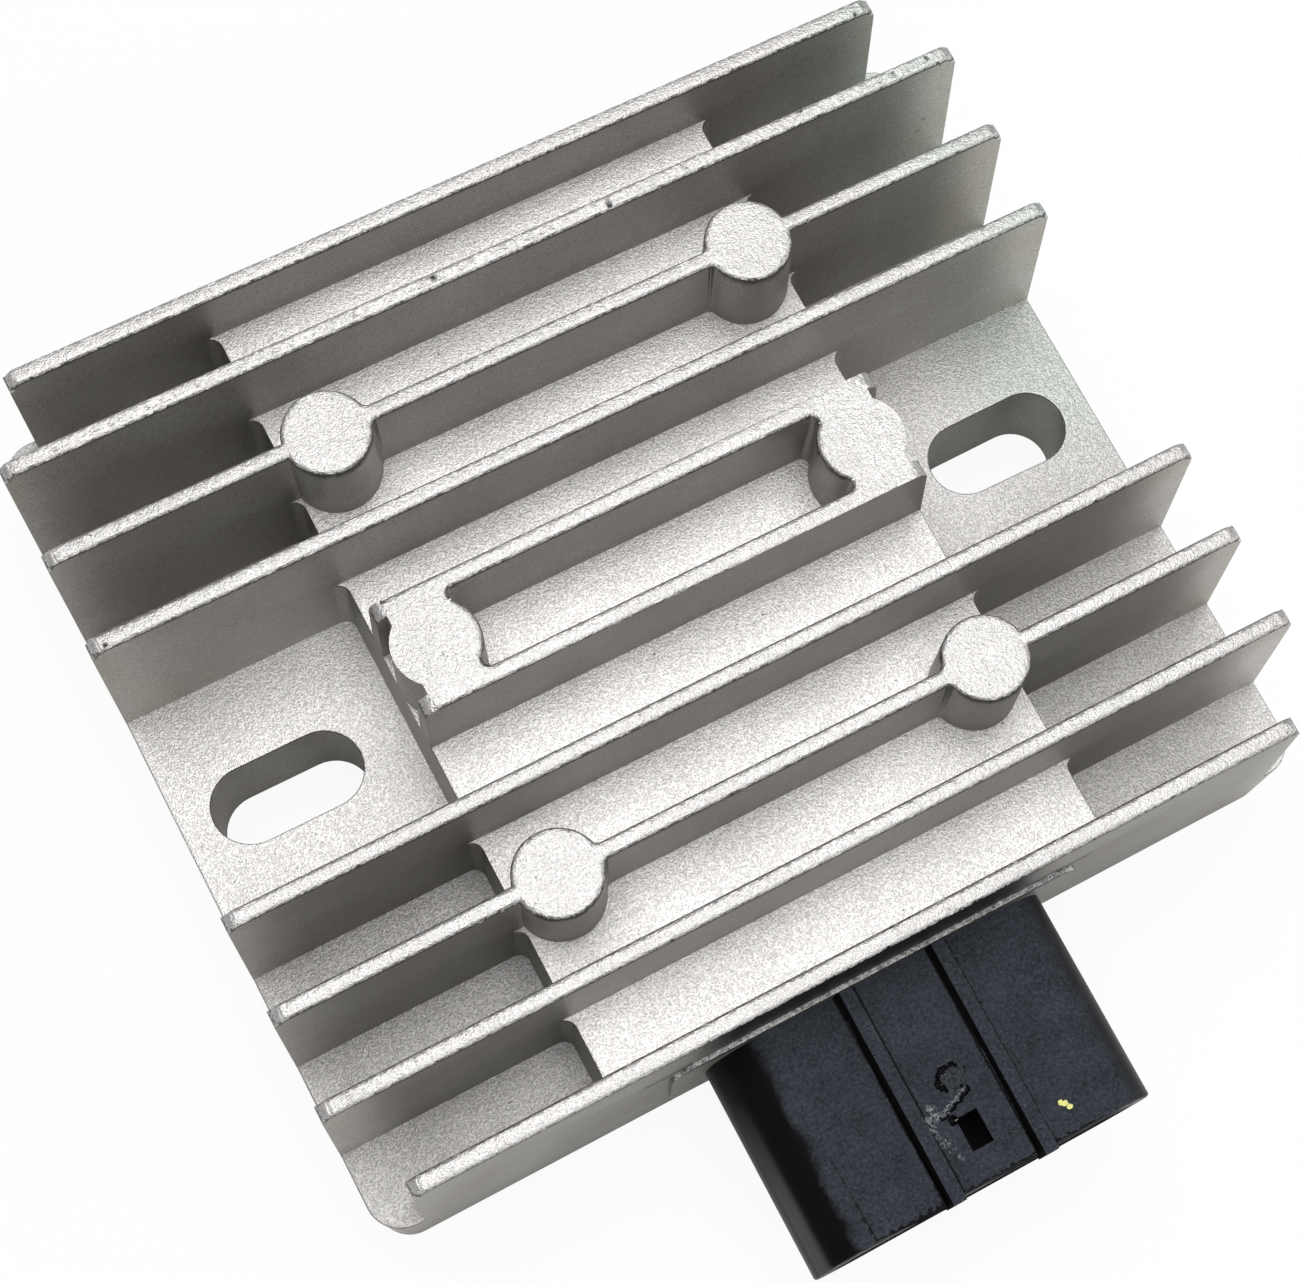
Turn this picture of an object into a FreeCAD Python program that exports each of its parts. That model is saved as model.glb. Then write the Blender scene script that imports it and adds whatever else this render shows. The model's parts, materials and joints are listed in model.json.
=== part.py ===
"""Voltage regulator rectifier: a finned die-cast body, its connector and what it holds.

Millimetres. +X runs along the fins, -Y is the connector side and +Z points from the
mounting face to the fin tips. The origin lies on the mounting face, midway between
the two slots for the bolts.
"""
import FreeCAD, Part
import Sketcher
import math
import os

doc = FreeCAD.newDocument("regulator_rectifier")
sheet = doc.addObject("Spreadsheet::Sheet", "Sizes")

# Driving dimensions
SIZES = {
    # raised centre block, and the ears that continue it at both ends
    "block_length": 45.6,
    "block_inset": 0.85,
    "block_height": 18.1,
    "block_draft": 2.4,
    "bay_fillet": 1.0,
    "ear_length": 20.2,
    # flange plate under the block and the ears
    "plate_height": 9.8,
    "plate_draft": 1.7,
    "plate_corner": 3.0,
    # fins
    "fin_pitch": 8.0,
    "fin_root": 2.4,
    "fin_height": 26.6,
    "fin_draft": 1.7,
    "fin_corner": 1.2,
    # outer walls, lower and shorter than the fins
    "wall_root": 2.0,
    "wall_overhang": 0.85,
    "wall_height": 24.5,
    "wall_inset": 3.6,
    "wall_draft": 1.0,
    # pair of short fins in the middle
    "pair_root": 1.9,
    "pair_spacing": 8.5,
    "pair_shift": 0.6,
    # round ejector bosses
    "boss_diameter": 7.8,
    "boss_inset": 4.0,
    "boss_draft": 1.0,
    "boss_neck": 0.6,
    # webs that fill the outer corners beside the middle bosses
    "web_reach": 2.7,
    "web_start": 2.4,
    # slots in the ears
    "slot_width": 6.6,
    "slot_length": 13.0,
    "slot_inset": 9.25,
    # pocket in the mounting face
    "end_wall": 2.8,
    "side_wall": 3.35,
    "roof": 2.2,
    "pocket_corner": 4.0,
    "resin_recess": 1.0,
    # connector blades
    "blade_width": 6.3,
    "blade_thickness": 0.8,
    "blade_pitch": 5.4,
    "blade_recess": 5.6,
    "blade_bevel": 0.8,
    "blade_step": 1.2,
    "tail_height": 2.0,
    "tail_lap": 4.0,
    "run_height": 1.6,
    "run_gap": 0.6,
    # neck of the connector through the wall, and its seal
    "neck_side": 1.1,
    "neck_cover": 0.55,
    "neck_corner": 1.5,
    "neck_length": 5.8,
    "seal_thickness": 0.6,
    # hood of the connector, and the rim of the body round it
    "hood_shift": 0.75,
    "hood_level": 12.0,
    "hood_side": 3.1,
    "hood_cover": 1.8,
    "hood_flat": 0.6,
    "hood_length": 18.6,
    "hood_wall": 1.7,
    "hood_back": 2.0,
    "rim_side": 3.1,
    "rim_cover": 0.85,
    "rim_corner": 2.5,
    "rim_proud": 0.3,
    # two ribs and the latch window on the hood
    "latch_shift": 1.4,
    "rib_spread": 8.35,
    "rib_width": 1.35,
    "rib_height": 0.8,
    "rib_overhang": 0.3,
    "window_width": 1.9,
    "window_length": 2.9,
    "window_inset": 2.7,
    # insulating plate and copper plates under the block
    "ceramic_end_gap": 1.0,
    "ceramic_side_gap": 3.5,
    "ceramic_thickness": 1.0,
    "carrier_end_gap": 1.0,
    "carrier_front_gap": 2.0,
    "carrier_spacing": 1.5,
    "carrier_shift": 1.0,
    "carrier_length": 42.0,
    "carrier_thickness": 0.5,
    # semiconductor dies
    "die_thickness": 0.7,
    "thyristor_side": 7.0,
    "thyristor_inset": 20.0,
    "diode_side": 6.0,
    "diode_inset": 8.0,
    # busbars
    "busbar_width": 4.6,
    "busbar_lap": 3.5,
    "busbar_thickness": 0.6,
    # control board and its square pins
    "board_end_gap": 3.0,
    "board_front_gap": 11.5,
    "board_rear_gap": 7.5,
    "board_thickness": 1.6,
    "board_level": 7.4,
    "pin_width": 0.64,
    "gate_pin_inset": 0.6,
    "supply_pin_inset": 2.0,
    # components under the board
    "chip_length": 6.0,
    "chip_width": 5.0,
    "chip_height": 1.7,
    "capacitor_length": 7.3,
    "capacitor_width": 4.3,
    "capacitor_height": 2.9,
    "reference_length": 4.5,
    "reference_width": 2.6,
    "reference_height": 2.2,
    "resistor_length": 6.4,
    "resistor_width": 3.2,
    "resistor_height": 0.8,
    "component_column": 8.0,
    "component_row": 10.0,
}

for row, (alias, value) in enumerate(SIZES.items(), start=1):
    sheet.set(f"A{row}", alias)
    sheet.set(f"B{row}", str(value))
    sheet.setAlias(f"B{row}", alias)
doc.recompute()

# Lengths, faces and levels that several pieces share, as expressions of the sheet
PLATE_LENGTH = "(Sizes.block_length + 2 * Sizes.ear_length)"
PLATE_WIDTH = "(9 * Sizes.fin_pitch + 2 * Sizes.wall_overhang)"
BLOCK_TOP_LENGTH = (
    "(Sizes.block_length - 2 * tan(Sizes.block_draft * 1deg)"
    " * (Sizes.block_height - Sizes.plate_height))"
)
BOSS_PLACE = "(Sizes.block_length / 2 - Sizes.boss_inset)"
SLOT_PLACE = f"({PLATE_LENGTH} / 2 - Sizes.slot_inset)"
POCKET_LENGTH = "(Sizes.block_length - 2 * Sizes.end_wall)"
POCKET_WIDTH = f"({PLATE_WIDTH} - 2 * Sizes.side_wall)"
POCKET_DEPTH = "(Sizes.block_height - Sizes.roof)"
FACE = f"({PLATE_WIDTH} / 2 + Sizes.rim_proud)"
NECK_WIDTH = "(4 * Sizes.blade_pitch + Sizes.blade_thickness + 2 * Sizes.neck_side)"
NECK_HEIGHT = "(Sizes.blade_width + 2 * Sizes.neck_cover)"
NECK_END = f"({FACE} - Sizes.neck_length)"
HOOD_WIDTH = f"({NECK_WIDTH} + 2 * Sizes.hood_side)"
HOOD_HEIGHT = f"({NECK_HEIGHT} + 2 * Sizes.hood_cover)"
HOOD_CORNER = f"(({HOOD_HEIGHT} - Sizes.hood_flat) / 2)"
HOOD_TOP = f"(Sizes.hood_level + {HOOD_HEIGHT} / 2)"
MOUTH = f"({FACE} + Sizes.hood_length)"
CERAMIC_LENGTH = f"({POCKET_LENGTH} - 2 * Sizes.ceramic_end_gap)"
CERAMIC_WIDTH = f"({POCKET_WIDTH} - 2 * Sizes.ceramic_side_gap)"
CERAMIC_LEVEL = f"({POCKET_DEPTH} - Sizes.ceramic_thickness)"
CARRIER_PITCH = f"(({CERAMIC_LENGTH} - 2 * Sizes.carrier_end_gap) / 3)"
CARRIER_FRONT = f"(Sizes.carrier_front_gap - {CERAMIC_WIDTH} / 2)"
CARRIER_LEVEL = f"({CERAMIC_LEVEL} - Sizes.carrier_thickness)"
THYRISTOR_ROW = f"({CARRIER_FRONT} + Sizes.thyristor_inset)"
DIODE_ROW = f"({CARRIER_FRONT} + Sizes.carrier_length - Sizes.diode_inset)"
DIE_LEVEL = f"({CARRIER_LEVEL} - Sizes.die_thickness)"
BUSBAR_LENGTH = f"(2 * {CARRIER_PITCH} + 2 * Sizes.busbar_lap)"
BUSBAR_LEVEL = f"({DIE_LEVEL} - Sizes.busbar_thickness)"
BOARD_TOP = "(Sizes.board_level + Sizes.board_thickness)"
BOARD_MIDDLE = "((Sizes.board_front_gap - Sizes.board_rear_gap) / 2)"
PHASES = ("a", "b", "c")


def size(alias):
    """Value of one driving dimension."""
    return float(sheet.get(alias))


def centred(middle, width):
    """Low and high side of a width about its middle, as expressions."""
    return f"{middle} - {width} / 2", f"{middle} + {width} / 2"


# Sketch and feature helpers

def new_body(name):
    """Body whose label names its node."""
    body = doc.addObject("PartDesign::Body", name)
    body.Label = name
    return body


def origin_plane(body, role):
    """One of the body's own origin planes."""
    return next(item for item in body.Origin.OriginFeatures if item.Role == role)


def new_sketch(body, name, role, distance="0"):
    """Sketch on an origin plane, moved along the plane's normal."""
    sketch = body.newObject("Sketcher::SketchObject", name)
    sketch.AttachmentSupport = [(origin_plane(body, role), "")]
    sketch.MapMode = "FlatFace"
    sketch.setExpression("AttachmentOffset.Base.z", distance)
    return sketch


def bind(sketch, constraint, expression):
    """Add a dimension to a sketch and bind it to an expression."""
    index = sketch.addConstraint(constraint)
    sketch.setExpression(f"Constraints[{index}]", expression)


def add_polygon(sketch, corners):
    """Closed polygon whose corners are pairs of expressions."""
    places = [FreeCAD.Vector(value_of(x), value_of(y), 0) for x, y in corners]
    first = sketch.GeometryCount
    count = len(places)
    for index in range(count):
        line = Part.LineSegment(places[index], places[(index + 1) % count])
        sketch.addGeometry(line, False)
    for index in range(count):
        following = first + (index + 1) % count
        sketch.addConstraint(Sketcher.Constraint("Coincident", first + index, 2, following, 1))
    for index, (x, y) in enumerate(corners):
        line = first + index
        bind(sketch, Sketcher.Constraint("DistanceX", -1, 1, line, 1, places[index].x), x)
        bind(sketch, Sketcher.Constraint("DistanceY", -1, 1, line, 1, places[index].y), y)


def add_rectangle(sketch, across, along):
    """Rectangle between the low and high sides given for both directions."""
    low_x, high_x = across
    low_y, high_y = along
    add_polygon(sketch, [(low_x, low_y), (high_x, low_y), (high_x, high_y), (low_x, high_y)])


def add_rounded_rectangle(sketch, across, along, radius):
    """Rectangle with one corner radius: four sides joined by tangent arcs."""
    left, right = (value_of(side) for side in across)
    low, high = (value_of(side) for side in along)
    corner = value_of(radius)
    first = sketch.GeometryCount
    sides = (
        ((left + corner, low), (right - corner, low)),
        ((right, low + corner), (right, high - corner)),
        ((right - corner, high), (left + corner, high)),
        ((left, high - corner), (left, low + corner)),
    )
    for start, end in sides:
        line = Part.LineSegment(FreeCAD.Vector(*start, 0), FreeCAD.Vector(*end, 0))
        sketch.addGeometry(line, False)
    centres = (
        (right - corner, low + corner),
        (right - corner, high - corner),
        (left + corner, high - corner),
        (left + corner, low + corner),
    )
    for turn, (x, y) in enumerate(centres):
        circle = Part.Circle(FreeCAD.Vector(x, y, 0), FreeCAD.Vector(0, 0, 1), corner)
        start = (turn - 1) * math.pi / 2
        sketch.addGeometry(Part.ArcOfCircle(circle, start, start + math.pi / 2), False)
    for turn in range(4):
        line = first + turn
        arc = first + 4 + turn
        following = first + (turn + 1) % 4
        sketch.addConstraint(Sketcher.Constraint("Tangent", line, 2, arc, 1))
        sketch.addConstraint(Sketcher.Constraint("Tangent", arc, 2, following, 1))
        direction = "Horizontal" if turn % 2 == 0 else "Vertical"
        sketch.addConstraint(Sketcher.Constraint(direction, line))
        if turn > 0:
            sketch.addConstraint(Sketcher.Constraint("Equal", first + 4, arc))
    bind(sketch, Sketcher.Constraint("Radius", first + 4, corner), radius)
    bind(sketch, Sketcher.Constraint("DistanceY", -1, 1, first, 1, low), along[0])
    bind(sketch, Sketcher.Constraint("DistanceX", -1, 1, first + 1, 1, right), across[1])
    bind(sketch, Sketcher.Constraint("DistanceY", -1, 1, first + 2, 1, high), along[1])
    bind(sketch, Sketcher.Constraint("DistanceX", -1, 1, first + 3, 1, left), across[0])


def add_slot(sketch, middle):
    """Slot along X with full-round ends, centred on the X axis."""
    radius = size("slot_width") / 2
    reach = size("slot_length") / 2 - radius
    place = value_of(middle)
    first = sketch.GeometryCount
    for side, start in ((1, -math.pi / 2), (-1, math.pi / 2)):
        centre = FreeCAD.Vector(place + side * reach, 0, 0)
        circle = Part.Circle(centre, FreeCAD.Vector(0, 0, 1), radius)
        sketch.addGeometry(Part.ArcOfCircle(circle, start, start + math.pi), False)
    for side in (1, -1):
        start = FreeCAD.Vector(place + side * reach, side * radius, 0)
        end = FreeCAD.Vector(place - side * reach, side * radius, 0)
        sketch.addGeometry(Part.LineSegment(start, end), False)
    right, left, top, bottom = range(first, first + 4)
    sketch.addConstraint(Sketcher.Constraint("Tangent", right, 2, top, 1))
    sketch.addConstraint(Sketcher.Constraint("Tangent", top, 2, left, 1))
    sketch.addConstraint(Sketcher.Constraint("Tangent", left, 2, bottom, 1))
    sketch.addConstraint(Sketcher.Constraint("Tangent", bottom, 2, right, 1))
    sketch.addConstraint(Sketcher.Constraint("PointOnObject", right, 3, -1))
    sketch.addConstraint(Sketcher.Constraint("PointOnObject", left, 3, -1))
    bind(sketch, Sketcher.Constraint("Radius", right, radius), "Sizes.slot_width / 2")
    half = "(Sizes.slot_length - Sizes.slot_width) / 2"
    for arc, sign in ((right, "+"), (left, "-")):
        constraint = Sketcher.Constraint("DistanceX", -1, 1, arc, 3, place)
        bind(sketch, constraint, f"{middle} {sign} {half}")


def add_circle(sketch, x, y, radius):
    """Circle with its centre and radius bound."""
    centre = FreeCAD.Vector(value_of(x), value_of(y), 0)
    circle = Part.Circle(centre, FreeCAD.Vector(0, 0, 1), value_of(radius))
    index = sketch.addGeometry(circle, False)
    bind(sketch, Sketcher.Constraint("DistanceX", -1, 1, index, 3, centre.x), x)
    bind(sketch, Sketcher.Constraint("DistanceY", -1, 1, index, 3, centre.y), y)
    bind(sketch, Sketcher.Constraint("Radius", index, value_of(radius)), radius)


def value_of(expression):
    """Number that an expression of the sheet gives now."""
    return float(sheet.evalExpression(expression.replace("Sizes.", "")))


def pad(body, name, sketch, length, taper=None, back=False):
    """Pad a sketch, with a draft that narrows it where one is given."""
    feature = body.newObject("PartDesign::Pad", name)
    feature.Profile = sketch
    feature.Reversed = back
    feature.setExpression("Length", length)
    if taper:
        feature.setExpression("TaperAngle", f"-{taper}")
    doc.recompute()
    return feature


def pocket(body, name, sketch, length, back=False):
    """Pocket a sketch and make sure that it removes material."""
    before = body.Shape.Volume
    feature = body.newObject("PartDesign::Pocket", name)
    feature.Profile = sketch
    feature.Reversed = back
    feature.setExpression("Length", length)
    doc.recompute()
    if body.Shape.Volume >= before:
        raise ValueError(f"{name} removes nothing")
    return feature


def fillet(body, name, radius, wanted):
    """Fillet the edges of the body's last feature that a test picks."""
    base = body.Tip
    names = [f"Edge{i}" for i, edge in enumerate(base.Shape.Edges, start=1) if wanted(edge)]
    if not names:
        raise ValueError(f"{name} finds no edges")
    feature = body.newObject("PartDesign::Fillet", name)
    feature.Base = (base, names)
    feature.setExpression("Radius", radius)
    doc.recompute()
    return feature


def near(value, target, margin=0.05):
    """Whether two lengths agree within a margin."""
    return abs(value - target) < margin


# Die-cast body

def make_housing():
    """Flange plate, block, fins, bosses, ears, rim, pocket and opening."""
    body = new_body("finned_housing")

    # The parting line runs round the top of the plate, so the plate narrows downwards
    plate = new_sketch(body, "plate_outline", "XY_Plane", "Sizes.plate_height")
    add_rounded_rectangle(
        plate, centred("0", PLATE_LENGTH), centred("0", PLATE_WIDTH), "Sizes.plate_corner"
    )
    pad(body, "plate", plate, "Sizes.plate_height", "Sizes.plate_draft", back=True)

    block = new_sketch(body, "block_outline", "XY_Plane", "Sizes.plate_height")
    add_rectangle(
        block,
        centred("0", "Sizes.block_length"),
        centred("0", f"({PLATE_WIDTH} - 2 * Sizes.block_inset)"),
    )
    rise = "Sizes.block_height - Sizes.plate_height"
    pad(body, "block", block, rise, "Sizes.block_draft")

    # Three long fins and the lower outer wall on one side, mirrored to the other
    rows = new_sketch(body, "fin_rows", "XY_Plane", "Sizes.plate_height")
    for step in (1.5, 2.5, 3.5):
        add_rectangle(
            rows,
            centred("0", PLATE_LENGTH),
            centred(f"{step} * Sizes.fin_pitch", "Sizes.fin_root"),
        )
    above_plate = "Sizes.fin_height - Sizes.plate_height"
    fins = pad(body, "long_fins", rows, above_plate, "Sizes.fin_draft")
    edge = new_sketch(body, "outer_row", "XY_Plane", "Sizes.plate_height")
    add_rectangle(
        edge,
        centred("0", f"({PLATE_LENGTH} - 2 * Sizes.wall_inset)"),
        (
            f"{PLATE_WIDTH} / 2 - Sizes.wall_root",
            f"{PLATE_WIDTH} / 2",
        ),
    )
    wall_rise = "Sizes.wall_height - Sizes.plate_height"
    wall = pad(body, "outer_wall", edge, wall_rise, "Sizes.wall_draft")
    mirror = body.newObject("PartDesign::Mirrored", "mirrored_fins")
    mirror.Originals = [fins, wall]
    mirror.MirrorPlane = (origin_plane(body, "XZ_Plane"), [""])
    body.Tip = mirror
    doc.recompute()

    # Two short fins in the middle, as long as the top of the block
    pair = new_sketch(body, "centre_rows", "XY_Plane", "Sizes.block_height")
    for sign in ("+", "-"):
        add_rectangle(
            pair,
            centred("0", BLOCK_TOP_LENGTH),
            centred(f"Sizes.pair_shift {sign} Sizes.pair_spacing / 2", "Sizes.pair_root"),
        )
    pad(body, "centre_fins", pair, "Sizes.fin_height - Sizes.block_height", "Sizes.fin_draft")

    # Vertical corners between the ends of the block and the fins
    low = size("plate_height")
    high = size("block_height")
    half_block = size("block_length") / 2
    fillet(body, "bay_corners", "Sizes.bay_fillet", lambda line: (
        near(min(v.Z for v in line.Vertexes), low)
        and near(max(v.Z for v in line.Vertexes), high)
        and all(near(abs(v.X), half_block, 0.5) for v in line.Vertexes)
    ))

    # Upper corners at the ends of all the fins
    tip = size("fin_height")
    wall_tip = size("wall_height")
    fillet(body, "fin_end_corners", "Sizes.fin_corner", lambda line: (
        len(line.Vertexes) == 2
        and near(line.Vertexes[0].X, line.Vertexes[1].X)
        and near(line.Vertexes[0].Z, line.Vertexes[1].Z)
        and (near(line.Vertexes[0].Z, tip) or near(line.Vertexes[0].Z, wall_tip))
    ))

    bosses = new_sketch(body, "boss_places", "XY_Plane", "Sizes.plate_height")
    for boss_row in ("2.5 * Sizes.fin_pitch", "Sizes.pair_shift", "-2.5 * Sizes.fin_pitch"):
        for sign in ("", "-"):
            add_circle(bosses, f"{sign}{BOSS_PLACE}", boss_row, "Sizes.boss_diameter / 2")
    pad(body, "bosses", bosses, above_plate, "Sizes.boss_draft")

    # Webs between the middle bosses and the ends of the short fins
    webs = new_sketch(body, "web_places", "XY_Plane", "Sizes.block_height")
    for sign in ("", "-"):
        for side in ("+", "-"):
            add_rectangle(
                webs,
                centred(f"{sign}({BOSS_PLACE} + Sizes.web_reach / 2)", "Sizes.web_reach"),
                centred(
                    f"Sizes.pair_shift {side} (Sizes.pair_spacing / 2 + Sizes.web_start) / 2",
                    "(Sizes.pair_spacing / 2 - Sizes.web_start)",
                ),
            )
    pad(body, "boss_webs", webs, "Sizes.fin_height - Sizes.block_height", "Sizes.fin_draft")

    # Necks between the bosses and the fins, on the sides that face each other
    boss_place = value_of(BOSS_PLACE)
    fillet(body, "boss_necks", "Sizes.boss_neck", lambda line: (
        near(max(v.Z for v in line.Vertexes), tip)
        and near(min(v.Z for v in line.Vertexes), high)
        and all(abs(v.X) < boss_place for v in line.Vertexes)
    ))

    rim = new_sketch(body, "rim_outline", "XZ_Plane", FACE)
    add_rounded_rectangle(
        rim,
        centred("Sizes.hood_shift", f"({HOOD_WIDTH} + 2 * Sizes.rim_side)"),
        centred("Sizes.hood_level", f"({HOOD_HEIGHT} + 2 * Sizes.rim_cover)"),
        "Sizes.rim_corner",
    )
    pad(body, "connector_rim", rim, "Sizes.rim_proud + Sizes.wall_root / 2", back=True)

    slots = new_sketch(body, "slot_outlines", "XY_Plane")
    for sign in ("", "-"):
        add_slot(slots, f"{sign}{SLOT_PLACE}")
    pocket(body, "slots", slots, "Sizes.plate_height", back=True)

    cavity = new_sketch(body, "pocket_outline", "XY_Plane")
    add_rounded_rectangle(
        cavity, centred("0", POCKET_LENGTH), centred("0", POCKET_WIDTH), "Sizes.pocket_corner"
    )
    pocket(body, "pocket", cavity, POCKET_DEPTH, back=True)

    opening = new_sketch(body, "opening_outline", "XZ_Plane", FACE)
    add_rounded_rectangle(opening, *opening_sides(), opening_corner())
    pocket(body, "opening", opening, "Sizes.rim_proud + Sizes.side_wall")
    return body


def neck_sides():
    """Sides of the neck, across and up."""
    return (
        centred("Sizes.hood_shift", NECK_WIDTH),
        centred("Sizes.hood_level", NECK_HEIGHT),
    )


def opening_sides():
    """Sides of the opening in the wall: the neck with its seal all round."""
    return tuple(
        (f"{low} - Sizes.seal_thickness", f"{high} + Sizes.seal_thickness")
        for low, high in neck_sides()
    )


def opening_corner():
    """Corner radius of the opening in the wall."""
    return "Sizes.neck_corner + Sizes.seal_thickness"


# Connector

def make_connector():
    """Hood with socket, ribs, latch window and neck, pierced for the blades."""
    body = new_body("connector_shell")
    across = centred("Sizes.hood_shift", HOOD_WIDTH)
    upright = centred("Sizes.hood_level", HOOD_HEIGHT)

    hood = new_sketch(body, "hood_outline", "XZ_Plane", FACE)
    add_rounded_rectangle(hood, across, upright, HOOD_CORNER)
    pad(body, "hood", hood, "Sizes.hood_length")

    ribs = new_sketch(body, "rib_outlines", "XZ_Plane", FACE)
    for sign in ("-", "+"):
        add_rectangle(
            ribs,
            centred(f"Sizes.latch_shift {sign} Sizes.rib_spread / 2", "Sizes.rib_width"),
            (f"{HOOD_TOP} - Sizes.hood_wall / 2", f"{HOOD_TOP} + Sizes.rib_height"),
        )
    pad(body, "ribs", ribs, "Sizes.hood_length + Sizes.rib_overhang")

    socket = new_sketch(body, "socket_outline", "XZ_Plane", MOUTH)
    add_rounded_rectangle(
        socket,
        centred("Sizes.hood_shift", f"({HOOD_WIDTH} - 2 * Sizes.hood_wall)"),
        centred("Sizes.hood_level", f"({HOOD_HEIGHT} - 2 * Sizes.hood_wall)"),
        f"{HOOD_CORNER} - Sizes.hood_wall",
    )
    pocket(body, "socket", socket, "Sizes.hood_length - Sizes.hood_back")

    window = new_sketch(body, "window_outline", "XY_Plane", HOOD_TOP)
    add_rectangle(
        window,
        centred("Sizes.latch_shift", "Sizes.window_width"),
        (
            f"Sizes.window_inset - {MOUTH}",
            f"Sizes.window_inset + Sizes.window_length - {MOUTH}",
        ),
    )
    pocket(body, "latch_window", window, "Sizes.hood_wall")

    neck = new_sketch(body, "neck_outline", "XZ_Plane", FACE)
    add_rounded_rectangle(neck, *neck_sides(), "Sizes.neck_corner")
    pad(body, "neck", neck, "Sizes.neck_length", back=True)

    passages = new_sketch(body, "blade_passages", "XZ_Plane", NECK_END)
    for column in range(-2, 3):
        add_rectangle(
            passages,
            centred(blade_place(column), "Sizes.blade_thickness"),
            centred("Sizes.hood_level", "Sizes.blade_width"),
        )
    pocket(body, "passages", passages, "Sizes.neck_length + Sizes.hood_back", back=True)
    return body


def make_seal():
    """Rubber sleeve between the neck and the wall."""
    body = new_body("connector_seal")
    ring = new_sketch(body, "seal_outline", "XZ_Plane", FACE)
    add_rounded_rectangle(ring, *opening_sides(), opening_corner())
    add_rounded_rectangle(ring, *neck_sides(), "Sizes.neck_corner")
    pad(body, "sleeve", ring, "Sizes.rim_proud + Sizes.side_wall", back=True)
    return body


def blade_place(column):
    """Place of a blade along X, counted from the middle of the hood."""
    return f"(Sizes.hood_shift + {column} * Sizes.blade_pitch)"


def make_terminal(name, column, inner_corners):
    """Upright blade in the socket, with its own tail inside the pocket."""
    body = new_body(name)
    profile = new_sketch(body, "side_view", "YZ_Plane", blade_place(column))
    bottom, top = centred("Sizes.hood_level", "Sizes.blade_width")
    tip = f"(Sizes.blade_recess - {MOUTH})"
    step = f"(Sizes.blade_step - {NECK_END})"
    bevel = "Sizes.blade_bevel"
    outer = [(step, bottom), (f"{tip} + {bevel}", bottom), (tip, f"{bottom} + {bevel}")]
    outer += [(tip, f"{top} - {bevel}"), (f"{tip} + {bevel}", top), (step, top)]
    add_polygon(profile, outer + [(y, z) for y, z in inner_corners(step)])
    feature = pad(body, "blade", profile, "Sizes.blade_thickness")
    feature.SideType = "Symmetric"
    doc.recompute()
    return body


def phase_tail(step):
    """Tail that ends under the front of a copper plate."""
    end = f"({CARRIER_FRONT} + Sizes.tail_lap)"
    low = f"{CARRIER_LEVEL} - Sizes.tail_height"
    return [(step, CARRIER_LEVEL), (end, CARRIER_LEVEL), (end, low), (step, low)]


def busbar_tail(row):
    """Tail that runs under the dies and rises to a busbar at its end."""
    def corners(step):
        end = f"({row} + Sizes.busbar_width / 2)"
        riser = f"({row} - Sizes.busbar_width / 2)"
        high = f"{BUSBAR_LEVEL} - Sizes.run_gap"
        low = f"{high} - Sizes.run_height"
        return [
            (step, high), (riser, high), (riser, BUSBAR_LEVEL),
            (end, BUSBAR_LEVEL), (end, low), (step, low),
        ]
    return corners


# Pieces in the pocket

def make_box(name, across, along, level, height):
    """Flat piece between the sides given, standing up from a level."""
    box = doc.addObject("Part::Box", name)
    box.Label = name
    for side, (low, high) in (("Length", across), ("Width", along)):
        box.setExpression(side, f"({high}) - ({low})")
    box.setExpression("Height", height)
    box.setExpression("Placement.Base.x", across[0])
    box.setExpression("Placement.Base.y", along[0])
    box.setExpression("Placement.Base.z", level)
    return box


def make_pin(name, x, y, top):
    """Square pin from the board up to a piece above it."""
    return make_box(
        name, centred(x, "Sizes.pin_width"), centred(y, "Sizes.pin_width"),
        BOARD_TOP, f"{top} - {BOARD_TOP}",
    )


def carrier_place(index):
    """Place of a copper plate along X."""
    return f"(Sizes.carrier_shift + {index - 1} * {CARRIER_PITCH})"


def make_power_stage():
    """Ceramic, copper plates, dies and busbars, hung under the block in that order."""
    pieces = [make_box(
        "insulating_plate",
        centred("0", CERAMIC_LENGTH),
        centred("0", CERAMIC_WIDTH),
        CERAMIC_LEVEL, "Sizes.ceramic_thickness",
    )]
    for index, phase in enumerate(PHASES):
        place = carrier_place(index)
        pieces.append(make_box(
            f"phase_plate_{phase}",
            centred(place, f"({CARRIER_PITCH} - Sizes.carrier_spacing)"),
            (CARRIER_FRONT, f"{CARRIER_FRONT} + Sizes.carrier_length"),
            CARRIER_LEVEL, "Sizes.carrier_thickness",
        ))
        for kind, row in (("thyristor", THYRISTOR_ROW), ("diode", DIODE_ROW)):
            pieces.append(make_box(
                f"{kind}_{phase}",
                centred(place, f"Sizes.{kind}_side"),
                centred(row, f"Sizes.{kind}_side"),
                DIE_LEVEL, "Sizes.die_thickness",
            ))
    for pole, row in (("negative", THYRISTOR_ROW), ("positive", DIODE_ROW)):
        pieces.append(make_box(
            f"{pole}_busbar",
            centred("Sizes.carrier_shift", BUSBAR_LENGTH),
            centred(row, "Sizes.busbar_width"),
            BUSBAR_LEVEL, "Sizes.busbar_thickness",
        ))
    return pieces


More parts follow.
